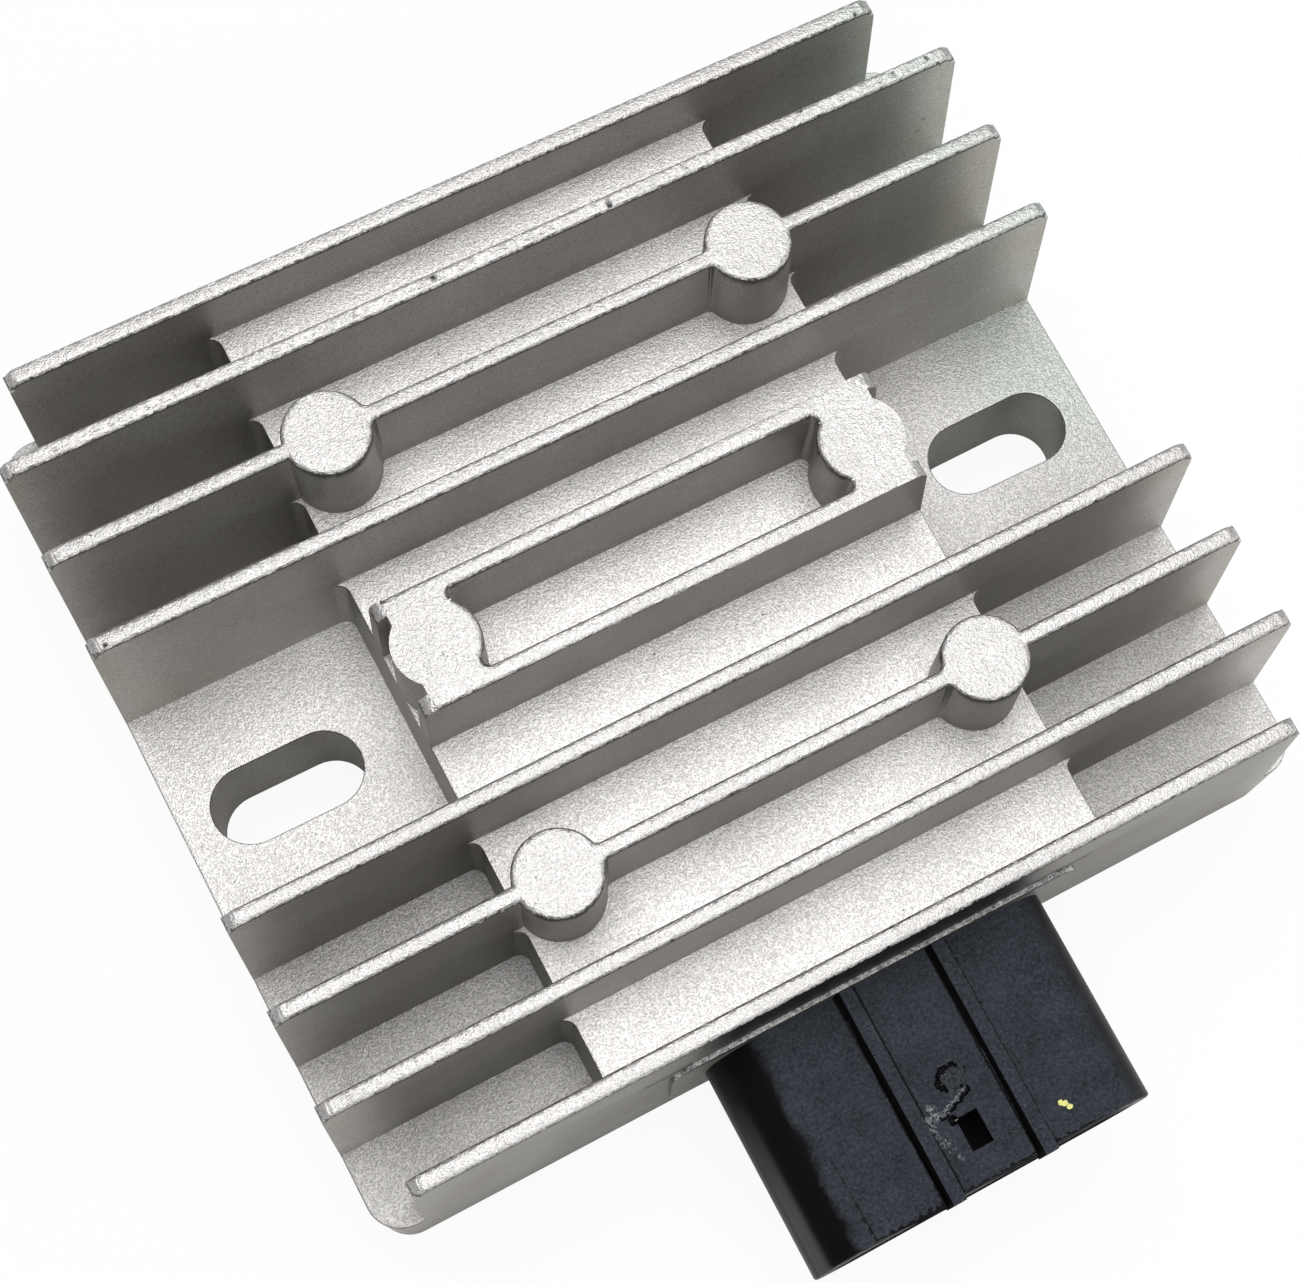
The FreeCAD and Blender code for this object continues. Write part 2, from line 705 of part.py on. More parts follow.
def make_control():
    """Board on its pins, with its components on the underside."""
    pieces = [make_box(
        "control_board",
        centred("0", f"({POCKET_LENGTH} - 2 * Sizes.board_end_gap)"),
        (
            f"Sizes.board_front_gap - {POCKET_WIDTH} / 2",
            f"{POCKET_WIDTH} / 2 - Sizes.board_rear_gap",
        ),
        "Sizes.board_level", "Sizes.board_thickness",
    )]
    gate_row = f"{THYRISTOR_ROW} + Sizes.thyristor_side / 2 - Sizes.gate_pin_inset"
    for index, phase in enumerate(PHASES):
        pieces.append(make_pin(f"gate_pin_{phase}", carrier_place(index), gate_row, DIE_LEVEL))
    reach = f"({BUSBAR_LENGTH} / 2 - Sizes.supply_pin_inset)"
    for pole, sign, row in (("negative", "-", THYRISTOR_ROW), ("positive", "+", DIODE_ROW)):
        place = f"Sizes.carrier_shift {sign} {reach}"
        pieces.append(make_pin(f"supply_pin_{pole}", place, row, BUSBAR_LEVEL))
    components = (
        ("control_chip", "chip", "-", "+"),
        ("timing_capacitor", "capacitor", "+", "+"),
        ("voltage_reference", "reference", "-", "-"),
        ("sense_resistor", "resistor", "+", "-"),
    )
    for name, kind, column, line in components:
        pieces.append(make_box(
            name,
            centred(f"{column}Sizes.component_column", f"Sizes.{kind}_length"),
            centred(f"{BOARD_MIDDLE} {line} Sizes.component_row", f"Sizes.{kind}_width"),
            f"Sizes.board_level - Sizes.{kind}_height", f"Sizes.{kind}_height",
        ))
    return pieces


def make_resin(embedded):
    """Resin that fills the pocket round every piece in it."""
    block = doc.addObject("PartDesign::Body", "resin_block")
    outline = new_sketch(block, "resin_outline", "XY_Plane", "Sizes.resin_recess")
    add_rounded_rectangle(
        outline, centred("0", POCKET_LENGTH), centred("0", POCKET_WIDTH), "Sizes.pocket_corner"
    )
    pad(block, "resin_fill", outline, f"{POCKET_DEPTH} - Sizes.resin_recess")
    tool = doc.addObject("Part::MultiFuse", "embedded_pieces")
    tool.Shapes = embedded
    resin = doc.addObject("Part::Cut", "potting_resin")
    resin.Base = block
    resin.Tool = tool
    resin.Label = "potting_resin"
    return resin


# Assembly, checks and files

housing = make_housing()
connector = make_connector()
seal = make_seal()
terminals = [
    make_terminal("terminal_phase_a", -2, phase_tail),
    make_terminal("terminal_positive", -1, busbar_tail(DIODE_ROW)),
    make_terminal("terminal_phase_b", 0, phase_tail),
    make_terminal("terminal_negative", 1, busbar_tail(THYRISTOR_ROW)),
    make_terminal("terminal_phase_c", 2, phase_tail),
]
inner = make_power_stage() + make_control()
doc.recompute()
potting = make_resin([connector] + terminals + inner)
doc.recompute()

nodes = [housing, connector, seal] + terminals + inner + [potting]
for item in doc.Objects:
    if "Invalid" in item.State or "Error" in item.State:
        raise RuntimeError(f"{item.Name} failed: {item.State}")
for node in nodes:
    if node.Shape.isNull() or not node.Shape.isValid():
        raise RuntimeError(f"{node.Label} has no valid shape")

os.makedirs("parts", exist_ok=True)
for node in nodes:
    node.Shape.exportStep(f"parts/{node.Label}.step")
print(f"{len(nodes)} nodes written")
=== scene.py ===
"""Dresses a finned voltage regulator rectifier: blasted die-cast housing, black socket, potted underside."""
import json
import logging
import math
from dataclasses import dataclass, field
from enum import Enum, IntEnum

import bmesh
import bpy
from mathutils import Matrix, Vector, noise


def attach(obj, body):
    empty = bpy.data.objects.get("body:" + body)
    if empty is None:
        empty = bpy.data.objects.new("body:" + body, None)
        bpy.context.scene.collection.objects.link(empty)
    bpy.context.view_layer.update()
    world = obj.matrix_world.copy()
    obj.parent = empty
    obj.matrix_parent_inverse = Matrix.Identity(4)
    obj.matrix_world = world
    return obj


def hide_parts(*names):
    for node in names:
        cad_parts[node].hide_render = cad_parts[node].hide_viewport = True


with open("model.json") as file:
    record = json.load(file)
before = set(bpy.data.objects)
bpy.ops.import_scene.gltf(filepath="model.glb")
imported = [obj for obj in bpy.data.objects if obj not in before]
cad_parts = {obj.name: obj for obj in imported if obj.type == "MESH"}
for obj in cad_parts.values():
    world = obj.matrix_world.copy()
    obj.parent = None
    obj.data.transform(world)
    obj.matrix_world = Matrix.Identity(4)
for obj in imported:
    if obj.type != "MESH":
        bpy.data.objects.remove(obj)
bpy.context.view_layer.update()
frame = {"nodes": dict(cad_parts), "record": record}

LOG = logging.getLogger("regulator")
MM = 0.001
PHOTO_WIDTH = 1300.0
SENSOR = 36.0
WHITE = (1, 1, 1, 1)

# Angles in radians between two faces of one rounding: flatter ones are level, steeper ones an edge.
SOFT_BENDS = (0.006, 0.52)

Value = bpy.types.NodeSocket
Range = tuple[float, float]
Place = tuple[float, float, float]
Colour = tuple[float, float, float, float]


class Slot(Enum):
    """Material slots of the record."""

    CASTING = "cast_aluminium"
    SOCKET = "connector_plastic"
    SEAL = "seal_rubber"
    TIN = "tinned_brass"
    COPPER = "copper"
    DIE = "semiconductor"
    CERAMIC = "insulating_ceramic"
    LAMINATE = "board_laminate"
    COMPONENT = "component_body"
    RESIN = "potting_resin"


class Ray(Enum):
    """Kinds of ray that see the white background itself."""

    CAMERA = "Is Camera Ray"
    TRANSMISSION = "Is Transmission Ray"


class Bench:
    """Lays out the nodes of one material."""

    def __init__(self, name: str) -> None:
        """Starts an empty material.

        Args:
            name: name of the material.
        """
        self.material = bpy.data.materials.new(name)
        self.material.use_nodes = True
        self.tree = self.material.node_tree
        self.shader = self.tree.nodes["Principled BSDF"]
        self.place = self.put("ShaderNodeTexCoord").outputs["Object"]
        sides = self.put("ShaderNodeSeparateXYZ")
        self.join(self.place, sides.inputs["Vector"])
        self.x, self.y, self.z = sides.outputs

    def put(self, kind: str, **settings: object) -> bpy.types.Node:
        """Adds a node.

        Args:
            kind: node type.
            settings: properties of the node.

        Returns:
            The new node.
        """
        node = self.tree.nodes.new(kind)
        for key, value in settings.items():
            setattr(node, key, value)
        return node

    def join(self, source: object, target: Value) -> None:
        """Links a socket to a target, or sets a plain value.

        Args:
            source: socket, number or colour.
            target: input socket.
        """
        if isinstance(source, bpy.types.NodeSocket):
            self.tree.links.new(source, target)
        else:
            target.default_value = source

    def grain(
        self, size: float, detail: float = 2.0, rough: float = 0.5, stretch: Place = (1, 1, 1)
    ) -> Value:
        """Adds cloudy noise.

        Args:
            size: size of one blotch in metres.
            detail: number of finer layers.
            rough: strength of the finer layers.
            stretch: how many times longer the blotches are along each axis.

        Returns:
            Value from 0 to 1.
        """
        shift = self.put("ShaderNodeMapping")
        shift.inputs["Scale"].default_value = tuple(1 / (size * times) for times in stretch)
        self.join(self.place, shift.inputs["Vector"])
        node = self.put("ShaderNodeTexNoise")
        node.inputs["Scale"].default_value = 1.0
        node.inputs["Detail"].default_value = detail
        node.inputs["Roughness"].default_value = rough
        self.join(shift.outputs["Vector"], node.inputs["Vector"])
        return node.outputs["Fac"]

    def facing(self, way: Place = (0.0, 0.0, 1.0)) -> Value:
        """Tells how far the surface faces a direction.

        Args:
            way: direction of length 1.

        Returns:
            1 for a surface that faces it, 0 for one at a right angle.
        """
        node = self.put("ShaderNodeVectorMath", operation="DOT_PRODUCT")
        self.join(self.put("ShaderNodeNewGeometry").outputs["Normal"], node.inputs[0])
        node.inputs[1].default_value = way
        return node.outputs["Value"]

    def fit(
        self, value: object, low: float, high: float, start: float = 0.0, end: float = 1.0,
        smooth: bool = False,
    ) -> Value:
        """Maps a range of a value to another range, held at its ends.

        Args:
            value: incoming value.
            low: incoming value that gives start.
            high: incoming value that gives end.
            start: outgoing value at low.
            end: outgoing value at high.
            smooth: whether the change is eased.

        Returns:
            The mapped value.
        """
        node = self.put("ShaderNodeMapRange", clamp=True)
        if smooth:
            node.interpolation_type = "SMOOTHSTEP"
        self.join(value, node.inputs["Value"])
        node.inputs["From Min"].default_value = low
        node.inputs["From Max"].default_value = high
        node.inputs["To Min"].default_value = start
        node.inputs["To Max"].default_value = end
        return node.outputs["Result"]

    def flip(self, value: Value) -> Value:
        """Turns 0 into 1 and 1 into 0."""
        return self.fit(value, 0.0, 1.0, 1.0, 0.0)

    def maths(self, kind: str, first: object, second: object = 0.0) -> Value:
        """Reckons with two values.

        Args:
            kind: operation, such as MULTIPLY.
            first: first value.
            second: second value.

        Returns:
            The result.
        """
        node = self.put("ShaderNodeMath", operation=kind)
        self.join(first, node.inputs[0])
        self.join(second, node.inputs[1])
        return node.outputs["Value"]

    def product(self, *values: object) -> Value:
        """Multiplies values.

        Args:
            values: two values or more.

        Returns:
            The product.
        """
        result = values[0]
        for value in values[1:]:
            result = self.maths("MULTIPLY", result, value)
        return result

    def blend(self, share: object, first: object, second: object, kind: str = "MIX") -> Value:
        """Mixes two colours.

        Args:
            share: share of the second colour.
            first: first colour.
            second: second colour.
            kind: how the colours are mixed.

        Returns:
            The mixed colour.
        """
        node = self.put("ShaderNodeMix", data_type="RGBA", blend_type=kind)
        self.join(share, node.inputs[0])
        self.join(first, node.inputs[6])
        self.join(second, node.inputs[7])
        return node.outputs[2]

    def tone(self, colour: Value, *factors: object) -> Value:
        """Multiplies a colour.

        Args:
            colour: the colour.
            factors: values or colours that it is multiplied by.

        Returns:
            The toned colour.
        """
        for factor in factors:
            colour = self.blend(1.0, colour, factor, "MULTIPLY")
        return colour

    def mark(self, name: str) -> Value:
        """Reads the value that the mesh keeps under a name."""
        return self.put("ShaderNodeAttribute", attribute_name=name).outputs["Fac"]

    def spot(self, centre: Place, near: float, far: float) -> Value:
        """Marks the surroundings of a point.

        Args:
            centre: point in metres.
            near: distance with full strength.
            far: distance with no strength.

        Returns:
            Value from 1 at the point to 0 far from it.
        """
        node = self.put("ShaderNodeVectorMath", operation="DISTANCE")
        self.join(self.place, node.inputs[0])
        node.inputs[1].default_value = centre
        return self.fit(node.outputs["Value"], near, far, 1.0, 0.0, smooth=True)

    def height(
        self, value: object, depth: float, strength: object = 1.0, under: Value | None = None
    ) -> Value:
        """Adds fine relief.

        Args:
            value: height from 0 to 1.
            depth: depth of the relief in metres.
            strength: share of the relief that shows.
            under: normal of the relief below.

        Returns:
            The normal.
        """
        node = self.put("ShaderNodeBump")
        node.inputs["Distance"].default_value = depth
        self.join(strength, node.inputs["Strength"])
        self.join(value, node.inputs["Height"])
        if under is not None:
            self.join(under, node.inputs["Normal"])
        return node.outputs["Normal"]

    def finish(
        self, colour: object, roughness: object, metallic: object, normal: Value
    ) -> bpy.types.Material:
        """Links the results to the surface shader.

        Args:
            colour: base colour.
            roughness: roughness.
            metallic: share of metal.
            normal: normal of the relief.

        Returns:
            The material.
        """
        self.join(colour, self.shader.inputs["Base Color"])
        self.join(roughness, self.shader.inputs["Roughness"])
        self.join(metallic, self.shader.inputs["Metallic"])
        self.join(normal, self.shader.inputs["Normal"])
        return self.material


@dataclass(frozen=True)
class BlastedCasting:
    """Shot-blasted die-cast aluminium, with smoother drafted sides darkened by painted shade, and dark rims
    that are partly worn and partly painted shade.
    """

    blasted: Colour = (0.84, 0.825, 0.812, 1)
    blasted_dark: Colour = (0.56, 0.548, 0.535, 1)
    tip_dark: Colour = (0.68, 0.668, 0.655, 1)
    warm_speck: Colour = (1.01, 0.99, 0.985, 1)
    cool_speck: Colour = (0.985, 1, 1.005, 1)
    # Drafted sides: a smoother finish, and a darker colour that is painted shade on the sides turned from
    # the light.
    drafted_and_shaded: Colour = (0.36, 0.35, 0.33, 1)
    drafted_and_shaded_dark: Colour = (0.285, 0.277, 0.26, 1)
    side_warm: Colour = (0.90, 0.86, 0.81, 1)
    side_cool: Colour = (1.08, 1.08, 1.09, 1)
    # Dark rim colour: partly worn metal, partly painted shade.
    worn_and_shaded_rim: Colour = (0.13, 0.126, 0.118, 1)
    pit: Colour = (0.05, 0.05, 0.05, 1)
    stain: Colour = (0.89, 0.97, 0.93, 1)
    dimples: tuple[Place, ...] = (
        (39.95 * MM, 26.96 * MM, 15.9 * MM), (40.36 * MM, 27.02 * MM, 17.7 * MM),
    )
    dimple_reach: Range = (0.15 * MM, 0.42 * MM)
    tip_heights: Range = (20 * MM, 23 * MM)
    speckle_size: float = 0.15 * MM
    tint_size: float = 0.22 * MM
    fine_size: float = 0.26 * MM
    side_size: float = 0.13 * MM
    peel_size: float = 0.30 * MM
    pore_size: float = 0.55 * MM
    cloud_size: float = 9 * MM
    speckle_depth: float = 0.05 * MM
    peel_depth: float = 0.08 * MM

    def material(self) -> bpy.types.Material:
        """Makes the finish.

        Returns:
            The material.
        """
        bench = Bench("blasted_casting")
        level = bench.facing()
        fine = bench.grain(self.fine_size, 2.0, 0.6)
        cloud = bench.grain(self.cloud_size, 3.0, 0.55)
        speckle = bench.grain(self.speckle_size, 1.0, 0.6)
        tips = bench.fit(bench.z, *self.tip_heights)
        steep = bench.maths("ADD", level, bench.fit(fine, 0.3, 0.7, -0.17, 0.17))
        # Mask of the drafted sides, which also carries their painted shade.
        drafted_and_shaded = bench.fit(steep, 0.62, 0.44, smooth=True)
        # Dark fringe along the rounded rims: partly worn metal, partly painted shade where the edge turns
        # from the light.
        rim = bench.product(bench.fit(steep, 0.64, 0.50), bench.fit(level, 0.06, 0.18))
        top = self.top_colour(bench, speckle, tips, cloud)
        side = bench.blend(rim, self.side_colour(bench, fine, cloud), self.worn_and_shaded_rim)
        # Painted shade on the outer wall, and painted reflection of the black socket above the socket.
        side = bench.tone(side, self.shade_on_outer_wall(bench))
        colour = bench.blend(drafted_and_shaded, top, side)
        stained = bench.product(
            bench.fit(bench.x, 30 * MM, 40 * MM, smooth=True),
            bench.fit(bench.y, -9 * MM, 3 * MM, smooth=True), bench.fit(cloud, 0.32, 0.56),
        )
        colour = bench.blend(stained, colour, self.stain, "MULTIPLY")
        colour = bench.tone(colour, self.ledge(bench, fine))
        # Pits and pores painted near black: painted shade inside the hollows.
        pores = bench.fit(bench.grain(self.pore_size, 2.0, 0.6), 0.29, 0.24, 0.0, 0.6)
        colour = bench.blend(bench.maths("MAXIMUM", pores, bench.mark("pit")), colour, self.pit)
        blast = bench.fit(drafted_and_shaded, 0.0, 1.0, 0.8, 0.2)
        peel = bench.product(blast, bench.fit(tips, 0.0, 1.0, 0.35, 1.0))
        relief = bench.height(bench.grain(self.peel_size, 1.0, 0.5), self.peel_depth, peel)
        relief = bench.height(speckle, self.speckle_depth, blast, relief)
        roughness = bench.fit(drafted_and_shaded, 0.0, 1.0, 0.52, 0.44)
        roughness = bench.maths("ADD", roughness, bench.fit(fine, 0.2, 0.8, -0.04, 0.08))
        return bench.finish(colour, roughness, bench.fit(drafted_and_shaded, 0.0, 1.0, 1.0, 0.6), relief)

    def top_colour(self, bench: Bench, speckle: Value, tips: Value, cloud: Value) -> Value:
        """Colours the blasted surfaces that face up.

        Args:
            bench: bench of the finish.
            speckle: grain of the blasting.
            tips: 1 on the tips of fins and bosses.
            cloud: large soft blotches.

        Returns:
            The colour.
        """
        tint = bench.grain(self.tint_size, 1.0, 0.5, (1.3, 1, 1))
        colour = bench.blend(
            bench.fit(speckle, 0.40, 0.58), bench.blend(tips, self.blasted_dark, self.tip_dark),
            self.blasted,
        )
        return bench.tone(
            colour, bench.blend(bench.fit(tint, 0.4, 0.6), self.warm_speck, self.cool_speck),
            bench.fit(cloud, 0.3, 0.7, 0.94, 1.05), bench.fit(tips, 0.0, 1.0, 1.0, 0.79),
            # painted shade on the floors outside the raised block
            self.shade_low_floors(bench),
        )

    def side_colour(self, bench: Bench, fine: Value, cloud: Value) -> Value:
        """Colours the drafted sides: a darker colour that is painted shade, lightened by painted light
        toward the outer ends of the fins.

        Args:
            bench: bench of the finish.
            fine: fine noise.
            cloud: large soft blotches.

        Returns:
            The colour.
        """
        colour = bench.tone(
            bench.blend(bench.fit(fine, 0.34, 0.66), self.drafted_and_shaded_dark, self.drafted_and_shaded),
            bench.blend(bench.fit(cloud, 0.3, 0.7), self.side_warm, self.side_cool),
            bench.fit(bench.grain(self.side_size, 0.0), 0.3, 0.7, 0.86, 1.14),
            # Painted light: the fin sides are lighter toward both outer ends, where the light falls on them.
            bench.fit(bench.x, 35.5 * MM, 41.5 * MM, 1.0, 1.5, smooth=True),
            bench.fit(bench.x, -36.5 * MM, -41.5 * MM, 1.0, 1.25, smooth=True),
            # Darker low down beside the raised block.
            self.darken_low_sides(bench),
        )
        # Two small dents in the side painted darker: painted shade in the hollows.
        for dimple in self.dimples:
            spot = bench.spot(dimple, *self.dimple_reach)
            colour = bench.tone(colour, bench.fit(spot, 0.0, 1.0, 1.0, 0.68))
        return colour

    def shade_on_outer_wall(self, bench: Bench) -> Value:
        """Paints shade on the outside of the near wall, and above the socket paints a deep shade and the
        reflection of the black socket.

        Args:
            bench: bench of the finish.

        Returns:
            Factor for the colour.
        """
        # Painted shade and reflection of the black socket on the wall above it.
        socket_reflection = bench.product(
            bench.fit(bench.x, -17 * MM, -11.5 * MM, smooth=True),
            bench.fit(bench.x, 17.5 * MM, 12 * MM, smooth=True),
            bench.fit(bench.z, 18.2 * MM, 18.5 * MM), bench.fit(bench.y, -36.0 * MM, -36.2 * MM),
        )
        outside = bench.fit(bench.y, -36.2 * MM, -36.45 * MM, 1.0, 0.85)
        return bench.product(outside, bench.fit(socket_reflection, 0.0, 1.0, 1.0, 0.04))

    def ledge(self, bench: Bench, fine: Value) -> Value:
        """Greys the rough upper edge of the rim round the socket.

        Args:
            bench: bench of the finish.
            fine: fine noise.

        Returns:
            Factor for the colour.
        """
        ledge = bench.product(
            bench.fit(bench.y, -36.60 * MM, -36.68 * MM),
            bench.fit(bench.z, 19.0 * MM, 18.6 * MM), bench.fit(bench.z, 17.4 * MM, 17.9 * MM),
            bench.fit(bench.x, -20.5 * MM, -19.5 * MM), bench.fit(bench.x, 21.0 * MM, 20.0 * MM),
        )
        grey = bench.fit(fine, 0.34, 0.62, 0.16, 0.62)
        return bench.maths("ADD", bench.flip(ledge), bench.product(ledge, grey))

    def shade_low_floors(self, bench: Bench) -> Value:
        """Greys the floors outside the raised block with painted shade, most on the left rows and on the
        right ear.

        Args:
            bench: bench of the finish.

        Returns:
            Factor for the colour.
        """
        right = bench.fit(bench.x, -1 * MM, 1 * MM)
        ear = bench.fit(bench.maths("ABSOLUTE", bench.y), 12.5 * MM, 11.5 * MM)
        rows = bench.fit(right, 0.0, 1.0, 0.68, 0.84)
        ears = bench.fit(right, 0.0, 1.0, 0.88, 0.72)
        grey = bench.maths("ADD", bench.product(ear, ears), bench.product(bench.flip(ear), rows))
        low = bench.fit(bench.z, 10.6 * MM, 10.2 * MM)
        return bench.maths("ADD", bench.flip(low), bench.product(low, grey))

    def darken_low_sides(self, bench: Bench) -> Value:
        """Darkens the fin sides low down beside the raised block.

        Args:
            bench: bench of the finish.

        Returns:
            Factor for the colour.
        """
        free = bench.fit(bench.maths("ABSOLUTE", bench.x), 23 * MM, 32 * MM, 0.84, 1.0, smooth=True)
        return bench.maths("MAXIMUM", free, bench.fit(bench.z, 12 * MM, 20 * MM))


@dataclass(frozen=True)
class MouldedPlastic:
    """Black moulded plastic with a dusty, scuffed top, with painted light on the top and a painted
    reflection along the left side.
    """

    clean: Colour = (0.0035, 0.0035, 0.004, 1)
    dust: Colour = (0.046, 0.052, 0.064, 1)
    dust_dark: Colour = (0.012, 0.013, 0.017, 1)
    scuffed: Colour = (0.20, 0.21, 0.225, 1)
    fleck: Colour = (0.72, 0.70, 0.25, 1)
    # Colour of the painted reflection along the left side.
    reflection_grey: Colour = (0.075, 0.069, 0.075, 1)
    # Direction of the dust and of the painted light that goes with it, tilted toward the light on the right.
    dust_and_light_way: Place = (0.27, 0.0, 0.963)
    fleck_places: tuple[Place, ...] = (
        (8.48 * MM, -52.98 * MM, 17.47 * MM), (8.76 * MM, -53.20 * MM, 17.47 * MM),
        (8.96 * MM, -53.62 * MM, 17.47 * MM),
    )
    fleck_reach: Range = (0.1 * MM, 0.45 * MM)
    fine_size: float = 0.30 * MM
    fleck_size: float = 0.16 * MM
    scratch_size: float = 0.12 * MM
    patch_size: float = 2.6 * MM
    relief: float = 0.05 * MM

    def material(self) -> bpy.types.Material:
        """Makes the finish.

        Returns:
            The material.
        """
        bench = Bench("dusty_socket_plastic")
        fine = bench.grain(self.fine_size, 3.0, 0.65)
        patch = bench.grain(self.patch_size, 4.0, 0.65)
        bare_and_shade = bench.maths("SUBTRACT", bench.mark("bare_and_shade"), bench.fit(fine, 0.3, 0.7, -0.25, 0.25))
        dust_and_light_veil = self.dust_and_light_veil(bench, patch, bare_and_shade)
        mottle = bench.maths(
            "ADD", bench.fit(patch, 0.25, 0.75, -0.22, 0.22), bench.fit(fine, 0.3, 0.7, 0.1, 0.9)
        )
        dust = bench.blend(bench.fit(mottle, 0.0, 1.0), self.dust_dark, self.dust)
        colour = bench.blend(dust_and_light_veil, self.clean, dust)
        flecks = bench.fit(bench.grain(self.fleck_size, 2.0, 0.7), 0.62, 0.74, 0.0, 0.35)
        colour = bench.blend(bench.product(flecks, dust_and_light_veil), colour, self.scuffed)
        scratch = bench.grain(self.scratch_size, 2.0, 0.6, (1.0, 2.6, 1.0))
        scuff = bench.maths("SUBTRACT", bench.mark("scuff"), bench.fit(scratch, 0.40, 0.60, 0.55, -0.15))
        colour = bench.blend(bench.fit(scuff, 0.15, 0.65), colour, self.scuffed)
        # Painted reflection: a lighter strip along the left side.
        colour = bench.blend(self.painted_reflection_strip(bench, fine), colour, self.reflection_grey)
        colour = bench.blend(self.paint_drop(bench, fine), colour, self.fleck)
        roughness = bench.maths(
            "MAXIMUM", bench.fit(dust_and_light_veil, 0.0, 1.0, 0.36, 0.72), bench.fit(bare_and_shade, 0.3, 0.6, 0.0, 0.7)
        )
        relief = bench.height(fine, self.relief, bench.fit(dust_and_light_veil, 0.0, 1.0, 0.12, 0.9))
        bench.shader.inputs["Specular IOR Level"].default_value = 0.18
        bench.shader.inputs["IOR"].default_value = 1.3
        return bench.finish(colour, roughness, 0.0, relief)

    def dust_and_light_veil(self, bench: Bench, patch: Value, bare_and_shade: Value) -> Value:
        """Marks where dust lies, together with painted light: the veil reaches further round the side that
        faces the light, and it thins near the right edge as painted shade.

        Args:
            bench: bench of the finish.
            patch: large blotches.
            bare_and_shade: how bare the surface is, where painted shade also counts as bare.

        Returns:
            Value from 0 to 1.
        """
        toward = bench.maths("ADD", bench.facing(self.dust_and_light_way), bench.fit(patch, 0.3, 0.7, -0.05, 0.05))
        return bench.product(
            bench.fit(toward, 0.80, 0.90, smooth=True), bench.fit(bench.z, 12 * MM, 14 * MM),
            # Painted shade: the veil thins toward the right edge.
            bench.fit(bench.x, 13.0 * MM, 15.6 * MM, 1.0, 0.35, smooth=True),
            bench.fit(bare_and_shade, 0.25, 0.6, 1.0, 0.06),
        )

    def painted_reflection_strip(self, bench: Bench, fine: Value) -> Value:
        """Marks the strip of painted reflection that lightens the left side.

        Args:
            bench: bench of the finish.
            fine: fine noise.

        Returns:
            Value from 0 to 1.
        """
        return bench.product(
            bench.fit(bench.z, 13.4 * MM, 14.4 * MM, smooth=True),
            bench.fit(bench.z, 15.9 * MM, 15.1 * MM, smooth=True),
            bench.fit(bench.x, -11.5 * MM, -12.5 * MM), bench.fit(bench.y, -40.5 * MM, -50 * MM),
            bench.fit(fine, 0.2, 0.8, 0.8, 1.0),
        )

    def paint_drop(self, bench: Bench, fine: Value) -> Value:
        """Marks the small drop of paint near the mouth.

        Args:
            bench: bench of the finish.
            fine: fine noise.

        Returns:
            Value from 0 to 1.
        """
        drop, *others = (bench.spot(place, *self.fleck_reach) for place in self.fleck_places)
        for other in others:
            drop = bench.maths("MAXIMUM", drop, other)
        drop = bench.maths("ADD", drop, bench.fit(fine, 0.3, 0.7, -0.25, 0.25))
        return bench.fit(drop, 0.60, 0.66)


@dataclass(frozen=True)
class PlainFinish:
    """Finish of one colour family, mottled at two scales."""

    name: str
    light: Colour
    dark: Colour
    roughness: float
    metallic: float = 0.0
    blotch: float = 2.0 * MM
    relief: float = 0.01 * MM

    def material(self) -> bpy.types.Material:
        """Makes the finish.

        Returns:
            The material.
        """
        bench = Bench(self.name)
        cloud = bench.grain(self.blotch, 4.0, 0.6)
        fine = bench.grain(self.blotch / 8, 2.0, 0.6)
        colour = bench.blend(bench.fit(cloud, 0.3, 0.7), self.dark, self.light)
        roughness = bench.fit(fine, 0.2, 0.8, self.roughness - 0.06, self.roughness + 0.06)
        return bench.finish(colour, roughness, self.metallic, bench.height(fine, self.relief, 0.7))


@dataclass(frozen=True)
class FloorPaint:
    """White studio floor that keeps a soft shadow."""

    paint: Colour = (0.86, 0.86, 0.86, 1)
    white_share: float = 0.92

    def material(self) -> bpy.types.Material:
        """Makes the finish.

        Returns:
            The material.
        """
        bench = Bench("studio_floor")
        bench.shader.inputs["Base Color"].default_value = self.paint
        bench.shader.inputs["Roughness"].default_value = 0.9
        bench.shader.inputs["Specular IOR Level"].default_value = 0.0
        white = bench.put("ShaderNodeEmission")
        white.inputs["Color"].default_value = WHITE
        mix = bench.put("ShaderNodeMixShader")
        bench.join(bench.product(sees_background(bench.tree), self.white_share), mix.inputs[0])
        bench.join(bench.shader.outputs["BSDF"], mix.inputs[1])
        bench.join(white.outputs["Emission"], mix.inputs[2])
        bench.join(mix.outputs["Shader"], bench.tree.nodes["Material Output"].inputs["Surface"])
        return bench.material


def sees_background(tree: bpy.types.NodeTree) -> Value:
    """Tells the rays that see the white background itself from those that carry light.

    Args:
        tree: node tree that gets the nodes.

    Returns:
        1 for a ray that sees the background.
    """
    path = tree.nodes.new("ShaderNodeLightPath")
    most = tree.nodes.new("ShaderNodeMath")
    most.operation = "MAXIMUM"
    for ray, target in zip(Ray, most.inputs):
        tree.links.new(path.outputs[ray.value], target)
    return most.outputs["Value"]


class Work(IntEnum):
    """What was done to a face of a CAD mesh."""

    NONE = 0
    EDGE = 1
    TIP = 2
    TOP = 3


def shake(place: Vector) -> Vector:
    """Gives a repeatable random push.

    Args:
        place: place, in grains.

    Returns:
        Push with sides between about -1 and 1.
    """
    shifts = (Vector((0, 0, 0)), Vector((31.7, 0, 0)), Vector((0, 47.3, 0)))
    return Vector([noise.noise(place + shift) + 0.5 * noise.noise(place * 2.3 + shift) for shift in shifts])


